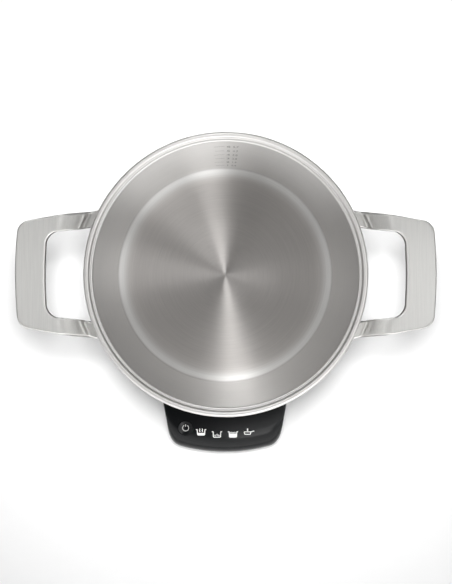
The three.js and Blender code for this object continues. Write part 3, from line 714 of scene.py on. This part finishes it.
def strap_height(r):
    """Height of the strap's middle at a distance from the pot's axis: flat, bend, ramp, bend, flat."""
    run = RAMP[1] - RAMP[0]
    s = min(run, max(0.0, r - RAMP[0]))
    slope = HANDLE_DROP / (run - RAMP_BEND)
    if s < RAMP_BEND:
        climb = slope * s * s / (2 * RAMP_BEND)
    elif s < run - RAMP_BEND:
        climb = slope * (s - RAMP_BEND / 2)
    else:
        climb = HANDLE_DROP - slope * (run - s) ** 2 / (2 * RAMP_BEND)
    return GRIP_TOP - HANDLE_DROP + climb - HANDLE_THICK / 2


def strap_slope(r):
    return (strap_height(r + 0.1) - strap_height(r - 0.1)) / 0.2


def resample(points, count):
    """Evenly spaced points along a polyline."""
    lengths = [0.0]
    for a, b in zip(points, points[1:]):
        lengths.append(lengths[-1] + math.dist(a, b))
    result = []
    segment = 0
    for i in range(count + 1):
        target = lengths[-1] * i / count
        while segment < len(points) - 2 and lengths[segment + 1] < target:
            segment += 1
        span = lengths[segment + 1] - lengths[segment] or 1.0
        t = (target - lengths[segment]) / span
        result.append(tuple(a + (b - a) * t for a, b in zip(points[segment], points[segment + 1])))
    return result


def strap_edge(out, corner_y, corner_r, root_y):
    """Stations of one edge of the strap in plan: half grip, corner and arm, from y = 0 to the wall."""
    middle_of_grip, root = (out + 1, 0, 0), (POT_R - 21, root_y, 0)
    outline = rounded([middle_of_grip, (out - GRIP_BOW, corner_y, corner_r), root], 16)
    corner = outline[1:-1]
    slope = math.atan2(GRIP_BOW + 1, corner_y)
    tangent = GRIP_BOW_R * math.tan(slope)
    grip = arc(out + 1 - GRIP_BOW_R / math.cos(slope), 0, GRIP_BOW_R, 0, math.degrees(slope), 6)
    grip = [p for p in grip if p[1] < min(tangent, corner[0][1]) - 0.3]
    # The arm ends just inside the pad on the pot's wall
    wall = POT_R + POT_WALL + 1.6
    (x0, y0), (x1, y1) = corner[-1], outline[-1]
    low, high = 0.0, 1.0
    for _ in range(30):
        t = (low + high) / 2
        x, y = x0 + (x1 - x0) * t, y0 + (y1 - y0) * t
        low, high = (t, high) if math.hypot(x, y) > wall else (low, t)
    end = (x0 + (x1 - x0) * low, y0 + (y1 - y0) * low)
    return resample(grip + [corner[0]], 10)[:-1] + corner + resample([corner[-1], end], 40)[1:]


def strap_section():
    """Section with shallow bevels: (share across the strap, offset in mm across, height above the middle)."""
    half = HANDLE_THICK / 2
    edge = [(0, 0.9), (0.1, 0.7), (0.3, 0.5), (0.5, 0.42), (0.95, 0.2), (1.15, 0.06), (1.35, 0)]
    section = [(0, x, half - drop) for x, drop in edge]
    section += [(i / 8, 0, half) for i in range(1, 8)]
    section += [(1, -x, z) for _, x, z in reversed(section[:len(edge)])]
    section += [(share, x, -z) for share, x, z in reversed(section)]
    return section


def handle_mesh(side):
    outer = strap_edge(HANDLE_OUT, GRIP_HALF_OUT, GRIP_CORNER_OUT, ARM_HALF_OUT)
    inner = strap_edge(HANDLE_OUT - GRIP_WIDTH, GRIP_HALF_IN, GRIP_CORNER_IN, ARM_HALF_IN)
    outer, inner = ([(x, -y) for x, y in reversed(edge)] + edge[1:] for edge in (outer, inner))
    section = strap_section()
    points = []
    for (ix, iy), (ox, oy) in zip(inner, outer):
        across = Vector((ox - ix, oy - iy))
        width = across.length
        across.normalize()
        for share, offset, lift in section:
            t = share * width + offset
            x, y = ix + across.x * t, iy + across.y * t
            r = math.hypot(x, y)
            slope = strap_slope(r)
            length = math.hypot(1, slope)
            lean = slope / length * lift / r
            points.append((side * x * (1 - lean), side * y * (1 - lean), strap_height(r) + lift / length))
    return points, closed_loft(len(outer), len(section))


def pad_mesh(angle):
    """Weld pad on the pot's wall: a rounded plate bent to the wall."""
    inner = POT_R + POT_WALL
    outer = inner + PAD_DEPTH
    half_width, half_height, corner = 9.5, 12.0, 4.0
    centre_z = GRIP_TOP - HANDLE_DROP - HANDLE_THICK / 2
    columns = 24
    points = []
    for i in range(columns + 1):
        u = -half_width * math.cos(math.pi * i / columns)
        over = max(0.0, abs(u) - (half_width - corner))
        height = half_height - corner + math.sqrt(max(0.0, corner**2 - over**2))
        half = [(inner, height), (outer - PAD_EDGE, height), (outer, height - PAD_EDGE)]
        a = angle + u / inner
        for radius, z in half + [(radius, -z) for radius, z in reversed(half)]:
            points.append((radius * math.cos(a), radius * math.sin(a), centre_z + z))
    return points, closed_loft(columns + 1, 6)


def outward(piece):
    """Makes all faces point out."""
    work = bmesh.new()
    work.from_mesh(piece.data)
    bmesh.ops.remove_doubles(work, verts=work.verts, dist=0.002 * MM)
    bmesh.ops.recalc_face_normals(work, faces=work.faces)
    work.to_mesh(piece.data)
    work.free()
    return piece


def add_handles(polished):
    finish = handle_steel()
    # Dark steel for the strap's side faces: painted shade, not a different finish
    painted_shade_sides = handle_steel("side_shade_steel", (0.36, 0.35, 0.34))
    for name, side in (("right", 1), ("left", -1)):
        strap = mesh_object(f"{name}_loop_handle", *handle_mesh(side), finish, sharp=50)
        strap.data.materials.append(polished)
        strap.data.materials.append(painted_shade_sides)
        count = len(strap_section())
        for polygon in strap.data.polygons:
            face = polygon.index % count
            polygon.material_index = 1 if face in BEVEL_FACES else 2 if face in SIDE_FACES else 0
        outward(strap)
        finish_piece(strap, "pot", "handle_steel", f"{name}_handle")
        for end, angle in (("a", -PAD_TURN), ("b", PAD_TURN)):
            turn = math.radians(angle) + (math.pi if side < 0 else 0)
            pad = outward(mesh_object(f"{name}_weld_pad_{end}", *pad_mesh(turn), finish, sharp=50))
            finish_piece(pad, "pot", "handle_steel", f"{name}_handle_pad_{end}")


# ---- The control nose ------------------------------------------------------------------------------


def nose_loop(angle, inset=0.0, columns=(14, 12, 4, 20)):
    """One open loop of the nose's skin, from the right-hand housing wall round the front to the left."""
    side_steps, corner_steps, straight_steps, front_steps = columns
    share = 1 - math.cos(angle)
    side_inset = inset + NOSE_SIDE_ROLL * share
    front_r = NOSE_FRONT_R - inset - NOSE_ROLL * share
    corner_r = NOSE_CORNER_R - inset + 0.4 * NOSE_ROLL * share
    half = NOSE_BACK_HALF - side_inset
    front = front_r / math.cos(NOSE_ARC) - NOSE_BOW_Y
    slope = math.tan(NOSE_ARC)
    corner_x = (half - NOSE_TAPER * (front + NOSE_BACK_Y)) / (1 - NOSE_TAPER * slope)
    corner_y = corner_x * slope - front
    # Where the side meets the round housing
    foot = half - NOSE_TAPER * NOSE_BACK_Y
    a = 1 + NOSE_TAPER**2
    b = NOSE_TAPER * foot
    c = foot**2 - NOSE_WALL_R**2
    start_y = (-b - math.sqrt(b * b - a * c)) / a
    start = (half + NOSE_TAPER * (start_y - NOSE_BACK_Y), start_y)
    corner = rounded([start + (0,), (corner_x, corner_y, corner_r), (0, -front, 0)], corner_steps)[1:-1]
    front_start = (front_r * math.sin(NOSE_ARC), NOSE_BOW_Y - front_r * math.cos(NOSE_ARC))
    right = resample([start, corner[0]], side_steps)[:-1] + corner
    right += resample([corner[-1], front_start], straight_steps)[1:-1]
    reach = math.degrees(NOSE_ARC)
    middle_arc = arc(0, NOSE_BOW_Y, front_r, -90 + reach, -90 - reach, front_steps)
    return right + middle_arc + [(-x, y) for x, y in reversed(right)]


def nose_height(y, angle):
    rise = NOSE_TOP - NOSE_ROLL_Z
    return NOSE_ROLL_Z + (rise + NOSE_TILT * (y - NOSE_TOP_Y)) * math.sin(angle)


def nose_surface(x, y):
    """Height of the nose's top at a place away from its corners."""
    inset = NOSE_FRONT_R - math.hypot(x, y - NOSE_BOW_Y)
    share = min(1.0, inset / NOSE_ROLL)
    return nose_height(y, math.acos(1 - share))


def nose_skin(levels=22):
    rows = [[(x, y, HOUSING_Z) for x, y in nose_loop(0)]]
    for i in range(levels + 1):
        angle = math.pi / 2 * i / levels
        rows.append([(x, y, nose_height(y, angle)) for x, y in nose_loop(angle)])
    # The flat top runs back to the housing wall
    last = rows[-1]
    count = len(last)
    first, final = (math.atan2(p[1], p[0]) for p in (last[0], last[-1]))
    for part in (0.25, 0.5, 0.75, 1.0):
        row = []
        for i, (x, y, _) in enumerate(last):
            angle = first + (final - first) * i / (count - 1)
            tx, ty = NOSE_WALL_R * math.cos(angle), NOSE_WALL_R * math.sin(angle)
            px, py = x + (tx - x) * part, y + (ty - y) * part
            row.append((px, py, nose_height(py, math.pi / 2)))
        rows.append(row)
    points = [p for row in rows for p in row]
    return points, loft_faces(len(rows), count, closed=False)


def add_panel(gloss):
    panel = outward(mesh_object("gloss_panel", *nose_skin(), gloss, sharp=60))
    modify(panel, "SOLIDIFY", thickness=2.5 * MM, offset=-1.0)
    hole = cylinder(BUTTON_X, BUTTON_Y, BUTTON_R + 0.3, 20, 60, 96)
    cut(panel, [hole], sharp=40)
    finish_piece(panel, "base", "black_gloss", "control_panel")


def add_button(gloss):
    """Round cap that follows the nose's slope, with a finger dish and a softened edge."""
    bottom = node_box("power_button")[0][2]
    segments, rings = 96, 20
    dish_r = BUTTON_R - BUTTON_EDGE
    # Radius, then either the depth below the nose's surface or a height
    profile = [(BUTTON_R - 1.6, None, bottom + 0.2), (BUTTON_R, None, bottom + 0.2), (BUTTON_R, -1.2, None)]
    for a in (0.3, 0.6, 0.9, 1.2, 1.5):
        profile.append((BUTTON_R - 0.5 + 0.5 * math.cos(a), -0.5 + 0.5 * math.sin(a), None))
    for i in range(rings):
        r = dish_r * (1 - i / rings)
        profile.append((r, -BUTTON_DISH * (1 - (r / dish_r) ** 2), None))
    points = []
    for r, depth, z in profile:
        for i in range(segments):
            a = 2 * math.pi * i / segments
            x, y = BUTTON_X + r * math.cos(a), BUTTON_Y + r * math.sin(a)
            points.append((x, y, z if depth is None else nose_surface(x, y) + depth))
    faces = loft_faces(len(profile), segments)
    last = (len(profile) - 1) * segments
    points.append((BUTTON_X, BUTTON_Y, nose_surface(BUTTON_X, BUTTON_Y) - BUTTON_DISH))
    faces += [(last + i, last + (i + 1) % segments, len(points) - 1) for i in range(segments)]
    faces.append(tuple(range(segments - 1, -1, -1)))
    cap = outward(mesh_object("power_button_cap", points, faces, gloss, sharp=50))
    finish_piece(cap, "button", "black_gloss", "power_button")


# ---- Symbols ---------------------------------------------------------------------------------------


def finer(line, step=0.4):
    """The same line with points at most a step apart."""
    result = [line[0]]
    for a, b in zip(line, line[1:]):
        count = max(1, math.ceil(math.dist(a, b) / step))
        result += [tuple(p + (q - p) * i / count for p, q in zip(a, b)) for i in range(1, count + 1)]
    return result


def ribbon(line, width, closed=False):
    """A stroke of even width along a line, as a strip of (left, right) pairs."""
    line = finer(line)
    pairs = []
    count = len(line)
    for i, point in enumerate(line):
        before = line[i - 1] if i or closed else point
        after = line[(i + 1) % count] if i < count - 1 or closed else point
        along = (Vector(after) - Vector(before)).normalized()
        side = Vector((-along.y, along.x)) * width / 2
        pairs.append((Vector(point) + side, Vector(point) - side))
    if closed:
        pairs.append(pairs[0])
    return pairs


def strips_mesh(strips, surface, thickness):
    """Turns strips of point pairs into thin closed slabs that lie on a surface(x, y, lift) function."""
    points, faces = [], []
    for pairs in strips:
        base = len(points)
        for left, right in pairs:
            for p, side in ((left, 1), (right, 1), (right, -1), (left, -1)):
                points.append(surface(p.x, p.y, side * thickness))
        faces += [tuple(base + i for i in face) for face in closed_loft(len(pairs), 4)]
    return points, faces


def smooth_line(points, steps=8):
    """A Catmull-Rom curve through the points."""

    def between(p, q, r, s, t):
        square, cube = 2 * p - 5 * q + 4 * r - s, 3 * q - p - 3 * r + s
        return 0.5 * (2 * q + (r - p) * t + square * t * t + cube * t**3)

    result = []
    padded = [points[0], *points, points[-1]]
    for four in zip(padded, padded[1:], padded[2:], padded[3:]):
        for i in range(steps):
            result.append(tuple(between(*values, i / steps) for values in zip(*four)))
    return result + [points[-1]]


def steam(x, low, high):
    step = (high - low) / 4
    return smooth_line([(x + (0.45 if i % 2 else -0.45), low + step * i) for i in range(5)])


def pot_outline():
    """Open pot seen from the side, with its two lugs."""
    left = [(-6.2, 3.4), (-4.6, 3.4), *arc(-3.2, -2.2, 1.2, 180, 270, 6)]
    right = [*arc(3.2, -2.2, 1.2, 270, 360, 6), (4.6, 3.4), (6.2, 3.4)]
    return ribbon(left + right, 1.0)


def fill(x0, x1, y0, y1):
    return [(Vector((x, y1)), Vector((x, y0))) for x in (x0, (x0 + x1) / 2, x1)]


def symbols():
    """The four programme symbols, about 13 by 9 mm each."""
    steams = [ribbon(steam(x, 0.6, 4.6), 0.75) for x in (-1.6, 1.6)]
    bubbles = ((-2.2, -1.2, 0.7), (0.4, -0.3, 0.8), (2.4, -1.4, 0.6))
    level = smooth_line([(-3.6, 2.3), (-1.8, 2.8), (0, 2.3), (1.8, 2.8), (3.6, 2.3)])
    pan_bottom = arc(-4.2, -1.4, 1.0, 200, 270, 5) + arc(1.0, -1.4, 1.0, 270, 340, 5)
    pan = ribbon([(-5.6, 0.6), *pan_bottom, (2.4, 0.6)], 0.9)
    handle = ribbon([(-5.8, 0.7), (2.2, 0.7), (6.6, 1.9)], 0.8)
    return {
        "boil": [pot_outline(), fill(-3.9, 3.9, -2.9, -0.6), *steams],
        "simmer": [pot_outline(), *[ribbon(arc(*bubble, 0, 330, 11), 0.5, True) for bubble in bubbles]],
        "full": [pot_outline(), fill(-4.0, 4.0, -2.9, 1.3), ribbon(level, 0.7)],
        "fry": [pan, handle, ribbon(steam(-1.6, 1.8, 4.8), 0.75)],
    }


def add_symbols():
    white = print_material("white_print", (0.80, 0.80, 0.79))
    for key, (name, strips) in enumerate(symbols().items(), start=1):
        cx, cy, _ = middle(f"light_guide_{key}")

        def on_nose(x, y, lift, cx=cx, cy=cy):
            return (cx + x, cy + y, nose_surface(cx + x, cy + y) + lift)

        shape = strips_mesh(strips, on_nose, PRINT_THICK)
        mark = outward(mesh_object(f"symbol_{name}", *shape, white, sharp=60))
        finish_piece(mark, "base", "light_guide")

    def in_dish(x, y, lift):
        share = (math.hypot(x, y) / (BUTTON_R - BUTTON_EDGE)) ** 2
        px, py = BUTTON_X + x, BUTTON_Y + y
        return (px, py, nose_surface(px, py) - BUTTON_DISH * (1 - share) + lift)

    grey = print_material("grey_print", (0.42, 0.42, 0.41))
    power = [ribbon(arc(0, 0, 3.7, 118, 422, 40), 0.85), ribbon([(0, 1.6), (0, 4.6)], 0.85)]
    mark = outward(mesh_object("symbol_power", *strips_mesh(power, in_dish, PRINT_THICK), grey, sharp=60))
    finish_piece(mark, "button", "black_gloss")


# ---- Volume scale ----------------------------------------------------------------------------------


def add_volume_scale():
    """Six etched ticks inside the back wall, one per quart, each with its quarts and its litres."""
    etch = print_material("etched_marks", (0.22, 0.22, 0.22))

    def on_wall(u, z, lift):
        radius = POT_R - 0.02 - lift
        angle = math.pi / 2 - u / POT_R
        return (radius * math.cos(angle), radius * math.sin(angle), z)

    shapes = []
    for quarts in range(1, 7):
        z = POT_FLOOR + 0.9 + QUART_HEIGHT * quarts
        start = -10.6 if quarts % 2 else -11.6
        shapes.append(strips_mesh([ribbon([(start, z), (-1.2, z)], 0.8)], on_wall, 0.05))
        shapes.append(number(str(quarts), 0.8, z, 0.75, on_wall))
        shapes.append(number(f"{quarts * LITRES_PER_QUART:.1f}", 7.0, z, 0.42, on_wall))
    marks = outward(mesh_object("volume_scale", *joined(shapes), etch, sharp=60))
    finish_piece(marks, "pot", "brushed_steel")


def number(text, x, middle_z, width, surface):
    """A number as thin closed slabs on a surface, narrowed to a share of its normal width."""
    size = 11.0
    curve = bpy.data.curves.new("number", "FONT")
    curve.body = text
    curve.size = size
    curve.extrude = 0.05
    letter = bpy.data.objects.new("number", curve)
    bpy.context.scene.collection.objects.link(letter)
    depsgraph = bpy.context.evaluated_depsgraph_get()
    mesh = bpy.data.meshes.new_from_object(letter.evaluated_get(depsgraph))
    bottom = middle_z - 0.35 * size
    points = [surface(x + v.co.x * width, bottom + v.co.y, v.co.z) for v in mesh.vertices]
    faces = [tuple(p.vertices) for p in mesh.polygons]
    bpy.data.objects.remove(letter)
    bpy.data.curves.remove(curve)
    bpy.data.meshes.remove(mesh)
    return points, faces


# ---- The base --------------------------------------------------------------------------------------


def add_housing(satin):
    edge = 6.5
    deck_under = HOUSING_TOP - 5
    inner = HOUSING_R - 3
    profile = [
        (inner, HOUSING_Z),
        (HOUSING_R - 0.6, HOUSING_Z),
        (HOUSING_R, HOUSING_Z + 0.6),
        (HOUSING_R, HOUSING_Z + 18),
        *arc(HOUSING_R - edge, HOUSING_TOP - edge, edge, 0, 90, 12),
        *arc(SEAT_R + 1.2, HOUSING_TOP - 1.2, 1.2, 90, 180, 5),
        (SEAT_R, deck_under),
        (inner - 5, deck_under),
        (inner, deck_under - 3),
    ]
    housing = mesh_object("satin_housing", *revolve(profile, 256), satin, sharp=40)
    vents = []
    for side in (-1, 1):
        for i in range(5):
            slot = prism(rounded_slot(1.2, 9.0), inner - 4, HOUSING_R + 4)
            points = [(p[2], p[0], 33 + p[1]) for p in slot[0]]
            angle = math.pi / 2 + side * math.radians(13 + 3.5 * i)
            vents.append(turned((points, slot[1]), angle))
    low, high = node_box("inlet_socket")
    inlet = block(low[0] - 0.3, high[0] + 0.3, 100, HOUSING_R + 6, low[2] - 0.3, high[2] + 0.3)
    window = block(-60, 60, -HOUSING_R - 5, -100, HOUSING_Z - 1, 36)
    cut(housing, [joined(vents), inlet, window], sharp=40)
    finish_piece(housing, "base", "black_satin", "base_housing")


def rounded_slot(half_width, half_length):
    straight = half_length - half_width
    return arc(0, straight, half_width, 0, 180, 8) + arc(0, -straight, half_width, 180, 360, 8)


def add_trim_ring():
    low, high = node_box("base_trim_ring")
    inner, outer, bottom, top = SEAT_R + 1.4, high[0], low[2], high[2]
    profile = [
        (inner, bottom),
        (outer, bottom),
        *arc(outer - 0.8, top - 0.8, 0.8, 0, 90, 5),
        *arc(inner + 0.8, top - 0.8, 0.8, 90, 180, 5),
    ]
    steel_finish = ring_steel("trim_steel", roughness=0.22).material
    ring = mesh_object("steel_trim", *revolve(profile, 256), steel_finish, sharp=40)
    finish_piece(ring, "base", "brushed_steel", "base_trim_ring")


def tray_outline(inset):
    """Plan of the tray: the round base and the nose as one outline, drawn in by an inset."""
    radius = HOUSING_R - inset
    loop = [p for p in nose_loop(0, inset, (1, 12, 1, 24)) if math.hypot(*p) > radius]
    start = math.degrees(math.atan2(loop[-1][1], loop[-1][0])) % 360
    end = math.degrees(math.atan2(loop[0][1], loop[0][0])) % 360
    round_part = arc(0, 0, radius, start - 1.5, end - 360 + 1.5, 150)
    return loop + round_part


def add_tray(satin):
    outer, lower, inner = (tray_outline(inset) for inset in (1.0, 1.9, 3.5))
    floor_z = TRAY_Z + 2.5
    rows = [(lower, TRAY_Z), (outer, TRAY_Z + 0.9), (outer, TRAY_TOP), (inner, TRAY_TOP), (inner, floor_z)]
    points = [(x, y, z) for row, z in rows for x, y in row]
    tray = outward(mesh_object("satin_tray", points, closed_loft(len(rows), len(outer)), satin, sharp=35))
    slot = rounded_slot(1.6, 24)
    slots = [prism([(y, 9 * i + x) for x, y in slot][::-1], 2, 12) for i in range(-3, 4)]
    holes = []
    for i in range(1, 5):
        x, y, _ = middle(f"tray_screw_{i}")
        holes.append(cylinder(x, y, 4.1, TRAY_Z - 1, TRAY_Z + 2.2, 40))
    cut(tray, [joined(slots), joined(holes)], sharp=35)
    finish_piece(tray, "base", "black_satin", "bottom_tray")


def add_feet():
    rubber = rubber_material()
    top = TRAY_Z + 0.2
    for i in range(1, 5):
        x, y, _ = middle(f"foot_{i}")
        profile = [
            (0, 0.9),
            (4.0, 0.9),
            (4.6, 0.0),
            (8.6, 0.0),
            *arc(8.8, 1.2, 1.2, -90, 0, 5),
            (9.6, top),
            (0, top),
        ]
        foot = mesh_object(f"rubber_foot_{i}", *revolve(profile, 64, (x, y)), rubber, sharp=40)
        finish_piece(foot, "base", "rubber", f"foot_{i}")


def add_screws():
    zinc = plated("zinc_plate", (0.46, 0.47, 0.48), 0.28)
    for i in range(1, 5):
        x, y, _ = middle(f"tray_screw_{i}")
        bottom, top = TRAY_Z + 0.5, TRAY_Z + 3.2
        head = [(0, bottom), (2.2, bottom), (3.3, bottom + 0.5), (3.75, bottom + 1.3), (3.75, top)]
        profile = [*head, (1.6, top), (1.6, top + 10), (0, top + 10)]
        screw = mesh_object(f"pan_head_screw_{i}", *revolve(profile, 48, (x, y)), zinc, sharp=40)
        for half_x, half_y in ((1.9, 0.4), (0.4, 1.9)):
            bar = block(x - half_x, x + half_x, y - half_y, y + half_y, bottom - 1, bottom + 1.3)
            cut(screw, [bar])
        finish_piece(screw, "base", "zinc_steel", f"tray_screw_{i}")
    return zinc


def add_hot_plate(aluminium):
    low, high = node_box("heating_plate")
    radius, bottom, top = high[0], low[2], high[2]
    hole = 14.0
    grooves = []
    for r in (96, 72, 48, 24):
        grooves += [(r + 1.1, top), (r + 0.7, top - 0.45), (r - 0.7, top - 0.45), (r - 1.1, top)]
    profile = [
        (hole, bottom),
        (radius, bottom),
        *arc(radius - 1, top - 1, 1, 0, 90, 4),
        *grooves,
        *arc(hole + 0.9, top - 0.9, 0.9, 90, 180, 4),
    ]
    plate = mesh_object("turned_plate", *revolve(profile, 256), aluminium, sharp=30)
    finish_piece(plate, "base", "cast_aluminium", "heating_plate")


def add_gasket():
    low, high = node_box("plate_gasket")
    inner, flange, bottom, top = 104.3, high[0], low[2], high[2]
    lip = SEAT_R - 0.3
    profile = [
        (inner, bottom),
        (flange, bottom),
        (flange, bottom + 2.2),
        (lip, bottom + 2.2),
        *arc(lip - 0.7, top - 0.7, 0.7, 0, 90, 4),
        *arc(lip - 3.4, top - 0.1, 0.9, 0, -180, 6),
        *arc(inner + 0.7, top - 0.7, 0.7, 90, 180, 4),
    ]
    seal = mesh_object("silicone_seal", *revolve(profile, 256), silicone_material(), sharp=40)
    finish_piece(seal, "base", "silicone", "plate_gasket")


def add_sensor(aluminium):
    low, high = node_box("sensor_cap")
    radius, bottom, top = high[0], low[2], high[2]
    profile = [
        (0, top - 1.4),
        (radius - 1.4, top - 1.4),
        (radius - 1.4, bottom),
        (radius, bottom),
        *arc(radius - 1.3, top - 1.3, 1.3, 0, 90, 6),
        (4.4, top),
        (3.9, top - 0.35),
        (0, top - 0.35),
    ]
    cap = mesh_object("sensor_disc", *revolve(profile, 96), aluminium, sharp=35)
    finish_piece(cap, "sensor", "cast_aluminium", "sensor_cap")


def add_inlet(satin):
    low, high = node_box("inlet_socket")
    z = (low[2] + high[2]) / 2
    front, back = low[1], high[1]
    outline = rounded([(-15, -12, 1.5), (15, -12, 1.5), (15, 12, 1.5), (-15, 12, 1.5)], 6)
    mouth_corners = [(-12.2, -8.2), (12.2, -8.2), (12.2, 4.2), (8.2, 8.2), (-8.2, 8.2), (-12.2, 4.2)]
    mouth = rounded([(*corner, 1) for corner in mouth_corners], 4)

    def along_y(section, start, end):
        points, faces = prism(section, start, end)
        return [(x, d, z + y) for x, y, d in points], [face[::-1] for face in faces]

    body = outward(mesh_object("inlet_block", *along_y(outline, front, back), satin, sharp=30))
    cut(body, [along_y(mouth, 111, back + 1)], sharp=30)
    bevel(body, 0.4, 2, 50)
    finish_piece(body, "base", "black_satin", "inlet_socket")


# ---- The pieces that keep their CAD shape ----------------------------------------------------------


def finish_cad_nodes(satin, zinc, aluminium):
    insulation = {
        "red_plastic": (0.32, 0.02, 0.015),
        "blue_plastic": (0.02, 0.06, 0.22),
        "green_plastic": (0.10, 0.26, 0.03),
        "grey_plastic": (0.34, 0.35, 0.36),
    }
    finishes = {
        "brushed_steel": ring_steel("plain_steel").material,
        "handle_steel": handle_steel(),
        "cast_aluminium": aluminium,
        "zinc_steel": zinc,
        "brass": plated("brass_plate", (0.56, 0.42, 0.16), 0.25),
        "black_satin": satin,
        "black_gloss": satin,
        "rubber": rubber_material(),
        "silicone": silicone_material(),
        "circuit_board": circuit_board(),
        "dark_component": moulded("dark_epoxy", (0.022, 0.022, 0.026), 0.42, 1500.0, 0.00003),
        "light_guide": clear_acrylic(),
    }
    for slot, colour in insulation.items():
        finishes[slot] = moulded(slot, colour, 0.5, 1200.0, 0.00003)
    slots = {row["node"]: row["material_slot"] for row in frame["record"]["subparts"]}
    for name, node in frame["nodes"].items():
        node.data.materials.clear()
        node.data.materials.append(finishes[slots[name]])


# ---- Scene -----------------------------------------------------------------------------------------

add_camera()
add_studio()
satin_black = moulded("satin_black", (0.014, 0.0145, 0.015), 0.42, 1700.0, 0.00004)
aluminium_finish = cast_aluminium()
gloss_finish = gloss_black()
polished_finish = polished_steel()
add_pot(polished_finish)
add_capsule()
add_handles(polished_finish)
add_volume_scale()
add_panel(gloss_finish)
add_button(gloss_finish)
add_symbols()
add_housing(satin_black)
add_trim_ring()
add_tray(satin_black)
add_feet()
zinc_finish = add_screws()
add_hot_plate(aluminium_finish)
add_gasket()
add_sensor(aluminium_finish)
add_inlet(satin_black)
finish_cad_nodes(satin_black, zinc_finish, aluminium_finish)
